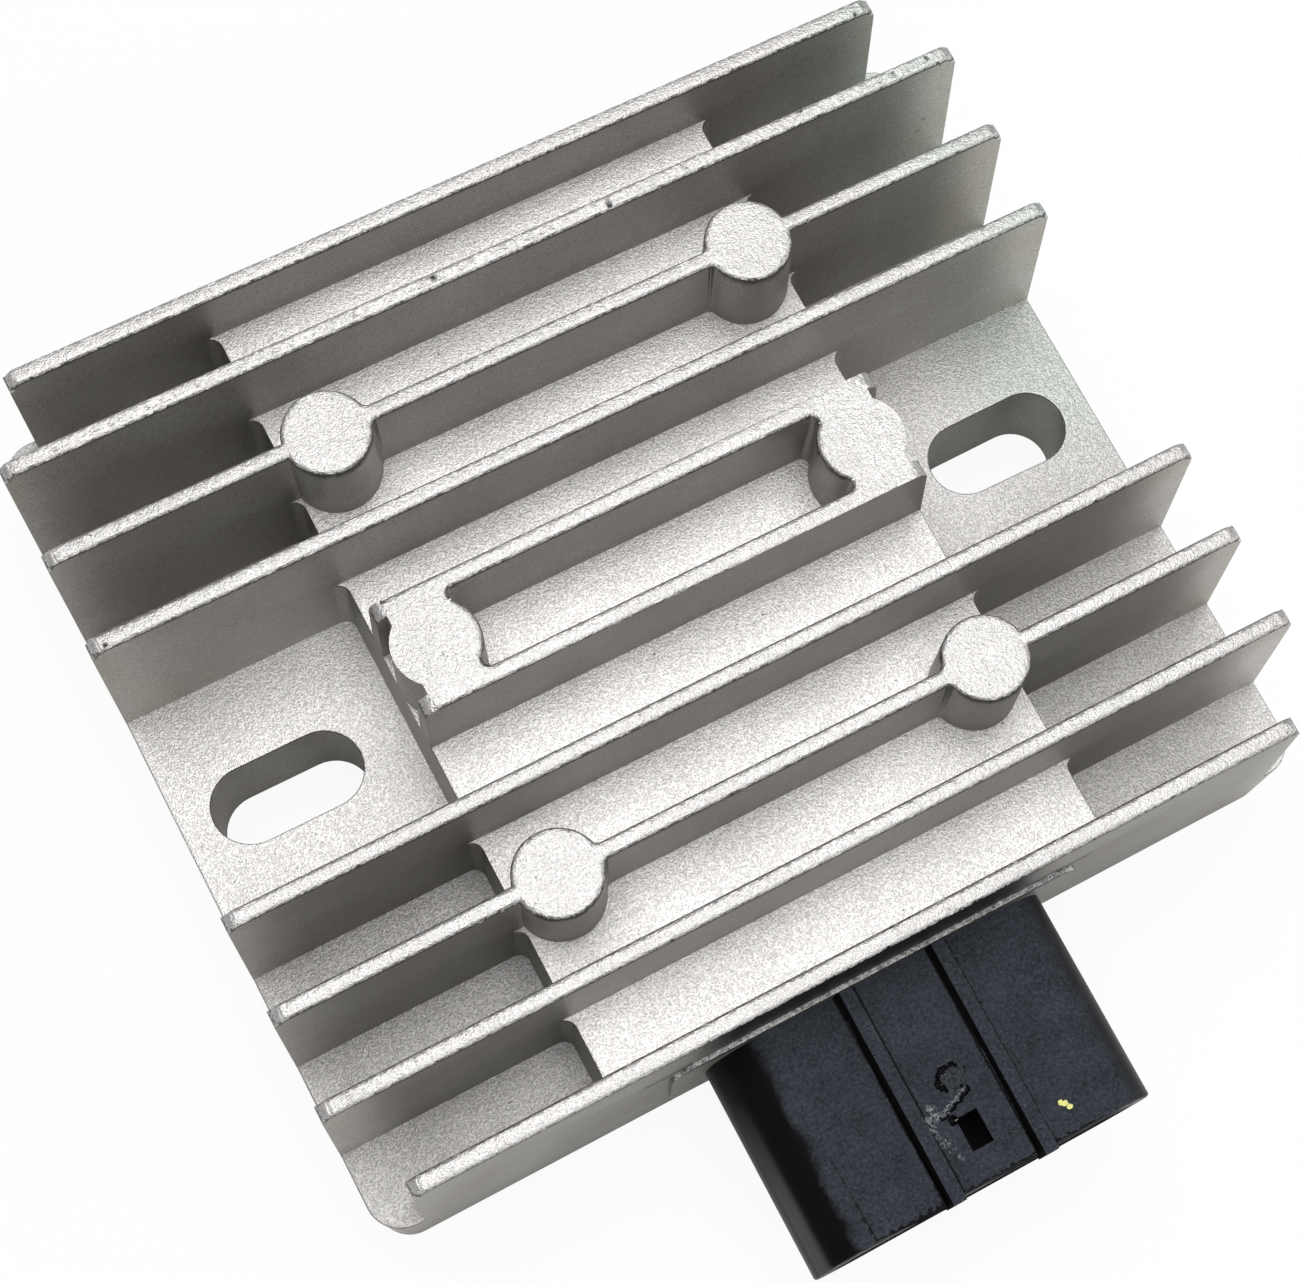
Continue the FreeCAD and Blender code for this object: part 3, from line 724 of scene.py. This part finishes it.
class Blank:
    """Copy of a CAD mesh that is worked on."""

    def __init__(self, node: str, name: str) -> None:
        """Starts from the mesh of a node.

        Args:
            node: name of the CAD node.
            name: name of the piece.
        """
        self.node = node
        mesh = frame["nodes"][node].data.copy()
        self.piece = bpy.data.objects.new(name, mesh)
        bpy.context.scene.collection.objects.link(self.piece)
        self.form = bmesh.new()
        self.form.from_mesh(mesh)
        places = [vert.co for vert in self.form.verts]
        self.box = [[pick(place[axis] for place in places) for axis in range(3)] for pick in (min, max)]
        for layer in list(self.form.loops.layers.uv):
            self.form.loops.layers.uv.remove(layer)
        bmesh.ops.remove_doubles(self.form, verts=self.form.verts, dist=0.002 * MM)
        bmesh.ops.dissolve_limit(
            self.form, angle_limit=math.radians(0.4), verts=self.form.verts, edges=self.form.edges
        )
        self.form.faces.layers.int.new("work")
        self.form.faces.layers.int.new("flat")

    @property
    def work(self) -> bmesh.types.BMLayerItem:
        """Layer with what was done to each face."""
        return self.form.faces.layers.int["work"]

    def bevel(self, edges: list[bmesh.types.BMEdge], width: float, steps: int, kind: Work) -> None:
        """Rounds edges.

        Args:
            edges: edges to round.
            width: width of the rounding.
            steps: number of faces across it.
            kind: mark for the new faces.
        """
        made = bmesh.ops.bevel(
            self.form, geom=edges, offset=width, offset_type="OFFSET", segments=steps, profile=0.5,
            affect="EDGES", clamp_overlap=False, loop_slide=True, miter_outer="SHARP",
        )
        work = self.work
        for face in made["faces"]:
            face[work] = kind

    def cut(self, kinds: tuple[Work, ...], axis: int, step: float) -> None:
        """Cuts marked faces into short lengths.

        Args:
            kinds: marks of the faces.
            axis: axis along which they are cut.
            step: longest length that stays.
        """
        work = self.work
        faces = [face for face in self.form.faces if face[work] in kinds]
        low = min(vert.co[axis] for face in faces for vert in face.verts)
        high = max(vert.co[axis] for face in faces for vert in face.verts)
        self.halve(faces, axis, step, low, high)

    def halve(
        self, faces: list[bmesh.types.BMFace], axis: int, step: float, low: float, high: float
    ) -> None:
        """Cuts faces in the middle of their length, again and again.

        Args:
            faces: faces to cut.
            axis: axis along which they are cut.
            step: longest length that stays.
            low: lower end of the length.
            high: upper end of the length.
        """
        if not faces or high - low < 1.4 * step:
            return
        middle = (low + high) / 2
        normal = [0.0, 0.0, 0.0]
        normal[axis] = 1.0
        crossing = []
        for face in faces:
            ends = [vert.co[axis] for vert in face.verts]
            if min(ends) < middle - 1e-6 and max(ends) > middle + 1e-6:
                crossing.append(face)
        parts = set(faces)
        if crossing:
            edges = {edge for face in crossing for edge in face.edges}
            verts = {vert for face in crossing for vert in face.verts}
            made = bmesh.ops.bisect_plane(
                self.form, geom=[*crossing, *edges, *verts], dist=1e-7,
                plane_co=[middle * side for side in normal], plane_no=normal,
            )
            parts.update(item for item in made["geom"] if isinstance(item, bmesh.types.BMFace))
        below, above = [], []
        for face in parts:
            if face.is_valid:
                (below if face.calc_center_bounds()[axis] < middle else above).append(face)
        self.halve(below, axis, step, low, middle)
        self.halve(above, axis, step, middle, high)

    def find_flats(self) -> None:
        """Marks the faces that are flat on their own, so that their shading stays flat."""
        work, flat = self.work, self.form.faces.layers.int["flat"]
        self.form.normal_update()
        for face in self.form.faces:
            bends = [
                face.normal.angle(other.normal, 0.0)
                for edge in face.edges for other in edge.link_faces
                if other is not face and not other[work]
            ]
            soft = any(SOFT_BENDS[0] < bend < SOFT_BENDS[1] for bend in bends)
            face[flat] = int(not face[work] and not soft)

    def close(self, material: bpy.types.Material, slot: Slot) -> bpy.types.Object:
        """Writes the mesh, shades and places the piece.

        Args:
            material: finish of the piece.
            slot: slot of the record; not used.

        Returns:
            The piece.
        """
        for vert in self.form.verts:
            vert.co = [min(max(*pair), high) for *pair, high in zip(vert.co, *self.box)]
        self.find_flats()
        mesh = self.piece.data
        self.form.to_mesh(mesh)
        self.form.free()
        if "custom_normal" in mesh.attributes:
            mesh.attributes.remove(mesh.attributes["custom_normal"])
        mesh.shade_smooth()
        mesh.set_sharp_from_angle(angle=math.radians(30))
        weigh = self.piece.modifiers.new("even_faces", "WEIGHTED_NORMAL")
        weigh.mode = "FACE_AREA"
        weigh.weight = 90
        weigh.keep_sharp = True
        ready = self.piece.evaluated_get(bpy.context.evaluated_depsgraph_get())
        mesh = bpy.data.meshes.new_from_object(ready)
        self.piece.data = mesh
        self.piece.modifiers.clear()
        normals = [tuple(corner.vector) for corner in mesh.corner_normals]
        flat = mesh.attributes["flat"].data
        for face in mesh.polygons:
            if flat[face.index].value:
                for corner in face.loop_indices:
                    normals[corner] = tuple(face.normal)
        mesh.normals_split_custom_set(normals)
        mesh.materials.clear()
        mesh.materials.append(material)
        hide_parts(self.node)
        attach(self.piece, "root")
        triangles = sum(len(face.vertices) - 2 for face in mesh.polygons)
        LOG.info("%s: %d triangles", self.piece.name, triangles)
        return self.piece


@dataclass
class Casting:
    """Finned housing: the cast shape with rounded, lumpy tips and pits."""

    node: str = "finned_housing"
    finish: BlastedCasting = field(default_factory=BlastedCasting)
    tip_floor: float = 22.0 * MM
    edge_floor: float = 5 * MM
    block_level: float = 18.1 * MM
    boss_rows: Range = (12.5 * MM, 27.5 * MM)
    web_reach: Range = (19.5 * MM, 23 * MM)
    web_middle: float = 0.6 * MM
    web_half: float = 6.6 * MM
    tip_round: float = 0.40 * MM
    edge_round: float = 0.20 * MM
    station: float = 0.20 * MM
    strip: float = 0.50 * MM
    ragged: float = 0.058 * MM
    grain: float = 0.34 * MM
    pit_depth: float = 0.25
    pits: tuple[tuple[float, float, float, float], ...] = (
        (-39.96, 28.05, 26.6, 0.24), (-41.14, 11.67, 26.6, 0.22), (28.18, 28.48, 26.6, 0.24),
        (10.10, 27.65, 26.6, 0.25), (-5.51, 28.28, 26.6, 0.25), (36.85, 28.13, 26.6, 0.24),
        (39.60, 28.05, 26.6, 0.24), (40.10, 28.20, 26.6, 0.20), (37.37, 35.37, 24.5, 0.22),
    )

    def build(self) -> bpy.types.Object:
        """Makes the housing.

        Returns:
            The piece.
        """
        blank = Blank(self.node, "blasted_housing")
        self.round_edges(blank)
        work = blank.work
        for face in blank.form.faces:
            high = face.calc_center_median().z > self.tip_floor
            if high and face.normal.z > 0.95 and not face[work]:
                face[work] = Work.TOP
        blank.cut((Work.TOP,), 1, self.strip)
        blank.cut((Work.TOP, Work.TIP), 0, self.station)
        self.roughen(blank)
        self.sink_pits(blank)
        return blank.close(self.finish.material(), Slot.CASTING)

    def round_edges(self, blank: Blank) -> None:
        """Rounds the tips of the fins and bosses, and breaks the other upper edges.

        Args:
            blank: the housing.
        """
        for low, width, steps, kind in (
            (self.tip_floor, self.tip_round, 3, Work.TIP), (self.edge_floor, self.edge_round, 2, Work.EDGE),
        ):
            edges = [edge for edge in blank.form.edges if self.is_rim(edge, low, blank.work)]
            blank.bevel(edges, width, steps, kind)

    def is_rim(self, edge: bmesh.types.BMEdge, low: float, work: bmesh.types.BMLayerItem) -> bool:
        """Tells whether an edge is a sharp outer one that the shot rounds.

        Args:
            edge: edge of the housing.
            low: height above which the whole edge lies.
            work: layer that marks the faces rounded before.

        Returns:
            True for an edge that is rounded.
        """
        if len(edge.link_faces) != 2 or not edge.is_convex or edge.calc_face_angle() < math.radians(32):
            return False
        if any(face[work] for face in edge.link_faces):
            return False
        middle = (edge.verts[0].co + edge.verts[1].co) / 2
        on_block = abs(middle.z - self.block_level) < 0.1 * MM
        beside_boss = on_block and self.boss_rows[0] < abs(middle.y) < self.boss_rows[1]
        near_web = self.web_reach[0] < abs(middle.x) < self.web_reach[1]
        at_web = near_web and abs(middle.y - self.web_middle) < self.web_half
        if min(vert.co.z for vert in edge.verts) < low or beside_boss or at_web:
            return False
        levels = [face.normal.z for face in edge.link_faces]
        return max(levels) > 0.25 and min(levels) < 0.2

    def roughen(self, blank: Blank) -> None:
        """Moves the rounded tips in and out a little, as the shot left them.

        Args:
            blank: the housing.
        """
        work = blank.work
        blank.form.normal_update()
        for vert in blank.form.verts:
            if not any(face[work] in (Work.TIP, Work.TOP) for face in vert.link_faces):
                continue
            flat = [face.normal for face in vert.link_faces if face[work] in (Work.NONE, Work.EDGE)]
            push = shake(vert.co / self.grain) * self.ragged
            for normal in flat:
                push -= normal * push.dot(normal)
            if not flat:
                push = -vert.normal * abs(push.dot(vert.normal)) * 1.3
            vert.co += push

    def sink_pits(self, blank: Blank) -> None:
        """Sinks the small casting pits in the tips.

        Args:
            blank: the housing.
        """
        # Share of each pit that the casting finish paints near black as the shade in the hollow.
        pit = blank.form.verts.layers.float.new("pit")
        for *middle, radius in self.pits:
            centre = Vector(middle) * MM
            for vert in blank.form.verts:
                share = 1 - (vert.co - centre).length / (radius * MM)
                if share > 0:
                    vert.co.z -= min(1.0, 1.5 * share) * self.pit_depth * MM
                    vert[pit] = min(1.0, 2 * share)


@dataclass
class Insides:
    """Power stage, control board and resin, which keep their CAD shapes."""

    finishes: dict[Slot, PlainFinish] = field(default_factory=lambda: {
        Slot.SEAL: PlainFinish("seal_rubber", (0.030, 0.030, 0.032, 1), (0.016, 0.016, 0.017, 1), 0.7),
        Slot.TIN: PlainFinish("tinned_terminals", (0.70, 0.69, 0.66, 1), (0.52, 0.51, 0.49, 1), 0.3, 1.0),
        Slot.COPPER: PlainFinish("bare_copper", (0.76, 0.42, 0.30, 1), (0.52, 0.26, 0.18, 1), 0.32, 1.0),
        Slot.DIE: PlainFinish("silicon_dies", (0.10, 0.11, 0.13, 1), (0.06, 0.065, 0.08, 1), 0.25, 0.6),
        Slot.CERAMIC: PlainFinish("white_ceramic", (0.84, 0.83, 0.80, 1), (0.74, 0.73, 0.70, 1), 0.5),
        Slot.LAMINATE: PlainFinish("green_laminate", (0.05, 0.20, 0.10, 1), (0.03, 0.14, 0.07, 1), 0.45),
        Slot.COMPONENT: PlainFinish(
            "component_epoxy", (0.030, 0.030, 0.032, 1), (0.018, 0.018, 0.02, 1), 0.5
        ),
        Slot.RESIN: PlainFinish(
            "potting_resin", (0.030, 0.029, 0.028, 1), (0.014, 0.014, 0.014, 1), 0.34,
            blotch=6 * MM, relief=0.04 * MM,
        ),
    })

    def dress(self) -> None:
        """Gives each inner node the finish of its slot."""
        made = {slot.value: finish.material() for slot, finish in self.finishes.items()}
        for part in frame["record"]["subparts"]:
            slot = part["material_slot"]
            if slot not in made:
                continue
            node = frame["nodes"][part["node"]]
            node.data.materials.clear()
            node.data.materials.append(made[slot])
            LOG.info("%s: finish %s", node.name, slot)


@dataclass
class Wear:
    """Wear of one place on the socket: depth in millimetres, how bare it is, painted shade counting as bare,
    and how scuffed it is.
    """

    depth: float
    bare_and_shade: float = 0.0
    scuff: float = 0.0

    def add(self, depth: float, bare_and_shade: float = 0.0, scuff: float = 0.0) -> None:
        """Deepens the place and raises its marks.

        Args:
            depth: further depth, negative for a burr.
            bare_and_shade: how bare the place is at least, painted shade counting as bare.
            scuff: how scuffed it is at least.
        """
        self.depth += depth
        self.bare_and_shade = max(self.bare_and_shade, bare_and_shade)
        self.scuff = max(self.scuff, scuff)


@dataclass
class Socket:
    """Black socket: worn top with two ribs, a burst spot and a torn latch window."""

    node: str = "connector_shell"
    finish: MouldedPlastic = field(default_factory=MouldedPlastic)
    deck: float = 17.5
    mouth: float = -55.75
    mouth_round: float = 0.22
    mouth_ragged: float = 0.10
    mouth_worn_above: float = 15.0
    middle: Range = (0.75, 12.0)
    top_reach: Range = (-8.75, 10.25)
    top_fade: float = 0.8
    rib_sides: Range = (-3.455, 4.905)
    rib_width: float = 1.35
    slope: float = 0.43
    rib_grown: float = 0.22
    cell: float = 0.17
    coarse_cell: float = 1.2
    crater: Range = (1.75, -47.15)
    gouge: tuple[Range, Range] = ((-0.4, -49.5), (2.3, -48.45))
    scuffs: tuple[Place, ...] = (
        (-0.95, -48.6, 0.45), (-0.85, -49.3, 0.5), (-1.45, -49.3, 0.5), (-1.55, -50.0, 0.45),
        (-1.40, -50.8, 0.4), (-1.20, -51.5, 0.5), (-0.85, -52.2, 0.4), (-0.55, -52.9, 0.35),
        (0.1, -49.6, 0.3),
    )
    scuff_reach: float = 1.25
    tear: Range = (0.25, -50.2)

    def build(self) -> bpy.types.Object:
        """Makes the socket.

        Returns:
            The piece.
        """
        blank = Blank(self.node, "worn_socket")
        self.slope_ribs(blank)
        self.break_mouth(blank)
        work = blank.work
        for face in blank.form.faces:
            middle = face.calc_center_median()
            inside = self.top_reach[0] < middle.x / MM - self.middle[0] < self.top_reach[1]
            if inside and middle.z > (self.deck - 0.1) * MM and face.normal.z > 0.3 and not face[work]:
                face[work] = Work.TOP
        step = self.cell
        blank.cut((Work.TOP,), 0, step * MM)
        blank.cut((Work.TOP,), 1, step * MM)
        self.wear(blank)
        return blank.close(self.finish.material(), Slot.SOCKET)

    def slope_ribs(self, blank: Blank) -> None:
        """Slopes the left sides of the ribs and moves their right sides out.

        Args:
            blank: the socket.
        """
        for vert in blank.form.verts:
            x, _, z = vert.co / MM
            left = any(abs(x - side) < 0.02 for side in self.rib_sides)
            right = any(abs(x - side - self.rib_width) < 0.02 for side in self.rib_sides)
            if left and z > self.deck + 0.2:
                vert.co.x += self.slope * MM
            elif right and z > self.deck - 0.1:
                vert.co.x += self.rib_grown * MM

    def break_mouth(self, blank: Blank) -> None:
        """Breaks the outer edge of the mouth.

        Args:
            blank: the socket.
        """
        edges = []
        for edge in blank.form.edges:
            ends = [vert.co / MM for vert in edge.verts]
            if len(edge.link_faces) != 2 or any(abs(end.y - self.mouth) > 0.02 for end in ends):
                continue
            out = Vector((ends[0].x - self.middle[0], 0, ends[0].z - self.middle[1]))
            normals = sorted((face.normal for face in edge.link_faces), key=lambda normal: normal.y)
            if normals[0].y < -0.9 and normals[1].dot(out) > 0.5:
                edges.append(edge)
        blank.bevel(edges, self.mouth_round * MM, 2, Work.EDGE)

    def wear(self, blank: Blank) -> None:
        """Wears the top: dents, cracks, painted shade, and marks of bare and scuffed places.

        Args:
            blank: the socket.
        """
        bare_and_shade = blank.form.verts.layers.float.new("bare_and_shade")
        scuff = blank.form.verts.layers.float.new("scuff")
        work = blank.work
        for vert in blank.form.verts:
            marks = [face[work] for face in vert.link_faces]
            if Work.TOP in marks:
                wear = self.wear_at(vert.co / MM)
                vert[bare_and_shade], vert[scuff] = wear.bare_and_shade, wear.scuff
                x = vert.co.x / MM
                inner = min(x - self.middle[0] - self.top_reach[0], self.middle[0] + self.top_reach[1] - x)
                vert.co.z -= wear.depth * max(0.0, min(1.0, inner / self.top_fade)) * MM
            elif Work.EDGE in marks and vert.co.z > self.mouth_worn_above * MM:
                vert.co.y += self.mouth_ragged * MM * (1 + noise.noise(vert.co / (0.5 * MM)))

    def wear_at(self, place: Vector) -> Wear:
        """Gives the wear of one place on the top.

        Args:
            place: place in millimetres.

        Returns:
            The wear.
        """
        x, y, z = place
        flat = Vector((x, y, 0))
        rough = noise.noise(flat / 0.42)
        depth = 0.03 * (1 + noise.noise(flat / 2.4)) + 0.022 * (1 + rough) + 0.012 * noise.noise(flat / 0.2)
        starts = (x - side for side in self.rib_sides)
        across = min(starts, key=lambda far: abs(far - self.rib_width / 2))
        # The sloped left side of each rib is painted bare and dark: painted shade on the side turned from
        # the light.
        if z > self.deck + 0.02 and -0.05 < across < self.slope - 0.04:
            return Wear(0.3 * max(depth, 0.0), 1.0)
        if z > self.deck + 0.3:
            return Wear(0.45 * max(depth, 0.0), 0.0, 0.15 * max(rough, 0.0))
        wear = Wear(depth)
        # Painted shadow beside the ribs.
        self.shade_ribs(wear, flat, rough, across)
        self.burst(wear, flat, rough)
        self.plough(wear, flat, rough)
        self.scrape(wear, flat)
        torn = 1 - Vector((x - self.tear[0], y - self.tear[1])).length / (0.42 + 0.2 * rough)
        if torn > 0:
            wear = Wear(wear.depth + min(0.5, torn), 1.0)
        if y < self.mouth + 0.32 + 0.35 * rough:
            wear.add(0.0, 0.8)
        return wear

    def shade_ribs(self, wear: Wear, flat: Vector, rough: float, across: float) -> None:
        """Paints the shade of the ribs on the deck as bare, dark deck: a band of shadow left of each rib,
        and a thin dark line along its right side.

        Args:
            wear: wear of the place.
            flat: place in millimetres, on the deck.
            rough: noise there.
            across: distance from the left side of the nearest rib.
        """
        shadow = 0.16 + 0.14 * noise.noise(Vector((flat.y / 1.3, flat.x, 0))) + 0.08 * rough
        beyond = across - self.rib_width - self.rib_grown
        if across < 0.02:
            wear.add(0.0, 1.2 + min(across, 0.0) / max(shadow, 0.05))
        elif -0.05 < beyond < 0.30 + 0.06 * rough:
            wear.add(0.0, 0.8)

    def burst(self, wear: Wear, flat: Vector, rough: float) -> None:
        """Makes the burst spot: a rough middle inside a ring of broken holes.

        Args:
            wear: wear of the place.
            flat: place in millimetres, on the deck.
            rough: noise there.
        """
        away = Vector(((flat.x - self.crater[0]) / 1.15, (flat.y - self.crater[1]) / 0.9, 0))
        ring = away.length + 0.22 * rough
        if ring >= 1.15:
            return
        broken = noise.noise(flat / 0.5 + Vector((7, 3, 0))) + 0.35 * (away.y - away.x)
        if ring > 0.82 and broken > 0.02:
            wear.add(0.30, 1.0)
        else:
            wear.add(0.05 + 0.14 * abs(noise.noise(flat / 0.3)), 0.3, 0.06 - 0.3 * away.y * rough)

    def plough(self, wear: Wear, flat: Vector, rough: float) -> None:
        """Cuts the gouge, with a pale burr along one side and painted shadow in the groove beside it.

        Args:
            wear: wear of the place.
            flat: place in millimetres, on the deck.
            rough: noise there.
        """
        start, end = (Vector((*point, 0)) for point in self.gouge)
        along = max(0.0, min(1.0, (flat - start).dot(end - start) / (end - start).length_squared))
        side = (flat - start).cross(end - start).normalized().z * (flat - start.lerp(end, along)).length
        side += 0.12 * rough
        if -0.20 < side < 0.10:
            wear.add(-0.08, 0.0, 0.62)
        # Groove beside the burr painted bare and dark: painted shadow of the burr.
        elif 0.10 <= side < 0.32:
            wear.add(0.20, 0.9)

    def scrape(self, wear: Wear, flat: Vector) -> None:
        """Scrapes the light, lumpy track beside the latch window.

        Args:
            wear: wear of the place.
            flat: place in millimetres, on the deck.
        """
        for centre_x, centre_y, radius in self.scuffs:
            away = Vector((flat.x - centre_x, flat.y - centre_y)).length
            reach = 1 - away / (radius * self.scuff_reach)
            if reach > 0:
                strength = 1.0 if centre_y > -50.5 else 0.6
                lumpy = 0.55 + 0.9 * noise.noise(flat / 0.28 + Vector((0, 5, 0)))
                light = strength * min(1.0, 1.8 * reach) * lumpy
                wear.add(0.07 * reach * (1 + noise.noise(flat / 0.3)), 0.0, light)


@dataclass(frozen=True)
class Lamp:
    """Soft square lamp: its place and width in metres, and its power in watts."""

    name: str
    place: Place
    width: float
    power: float
    target: Place = (0, 0, 0.015)

    def hang(self) -> None:
        """Hangs the lamp so that it looks at the part."""
        light = bpy.data.lights.new(self.name, "AREA")
        light.shape = "SQUARE"
        light.size = self.width
        light.energy = self.power
        piece = bpy.data.objects.new(self.name, light)
        piece.location = self.place
        way = Vector(self.target) - Vector(self.place)
        piece.rotation_euler = way.to_track_quat("-Z", "Y").to_euler()
        bpy.context.scene.collection.objects.link(piece)


@dataclass
class Studio:
    """White floor, soft lamps and the camera."""

    focal: float = 2631.0
    centre: Range = (898.14, 721.02)
    middle: Range = (650.0, 641.0)
    position: Place = (-34.2565, -59.6671, 223.5676)
    right: Place = (0.8712083260, -0.4800446188, 0.1027288500)
    down: Place = (-0.4410448918, -0.8572744258, -0.2656312524)
    ahead: Place = (0.2155816692, 0.1861121242, -0.9585858444)
    floor_half: float = 1.5
    sky: float = 0.30
    lamps: tuple[Lamp, ...] = (
        Lamp("key", (0.045, 0.10, 0.62), 0.50, 3.0),
        Lamp("front", (-0.05, -0.36, 0.45), 0.30, 0.8),
        Lamp("low_right", (0.46, -0.26, 0.14), 0.24, 0.5),
    )

    def build(self) -> None:
        """Makes the floor, the lamps, the sky and the camera."""
        self.floor()
        for lamp in self.lamps:
            lamp.hang()
        self.world()
        self.camera()

    def floor(self) -> None:
        """Lays the floor under the part."""
        mesh = bpy.data.meshes.new("studio_floor")
        half = self.floor_half
        corners = [(-half, -half, 0), (half, -half, 0), (half, half, 0), (-half, half, 0)]
        mesh.from_pydata(corners, [], [(0, 1, 2, 3)])
        piece = bpy.data.objects.new("studio_floor", mesh)
        bpy.context.scene.collection.objects.link(piece)
        piece.data.materials.append(FloorPaint().material())

    def world(self) -> None:
        """Lights the room softly, and shows white where the camera sees past the floor."""
        world = bpy.data.worlds.new("studio_sky")
        bpy.context.scene.world = world
        world.use_nodes = True
        tree = world.node_tree
        back = tree.nodes["Background"]
        back.inputs["Color"].default_value = WHITE
        level = tree.nodes.new("ShaderNodeMapRange")
        tree.links.new(sees_background(tree), level.inputs["Value"])
        level.inputs["To Min"].default_value = self.sky
        level.inputs["To Max"].default_value = 1.0
        tree.links.new(level.outputs["Result"], back.inputs["Strength"])

    def camera(self) -> None:
        """Sets the camera at the photograph's place."""
        lens = bpy.data.cameras.new("photo_camera")
        lens.sensor_width = SENSOR
        lens.lens = self.focal / PHOTO_WIDTH * SENSOR
        lens.shift_x = (self.middle[0] - self.centre[0]) / PHOTO_WIDTH
        lens.shift_y = (self.centre[1] - self.middle[1]) / PHOTO_WIDTH
        lens.clip_start = 0.01
        piece = bpy.data.objects.new("photo_camera", lens)
        up, back = ([-side for side in way] for way in (self.down, self.ahead))
        turn = Matrix([self.right, up, back]).transposed()
        piece.matrix_world = Matrix.Translation(Vector(self.position) * MM) @ turn.to_4x4()
        bpy.context.scene.collection.objects.link(piece)
        bpy.context.scene.camera = piece


def main() -> None:
    """Builds and dresses the whole part, and keeps its sizes."""
    logging.basicConfig(level=logging.INFO, format="%(message)s")
    Casting().build()
    Socket().build()
    Insides().dress()
    Studio().build()
    bpy.context.scene.view_settings.view_transform = "Standard"


if __name__ == "__main__":
    main()
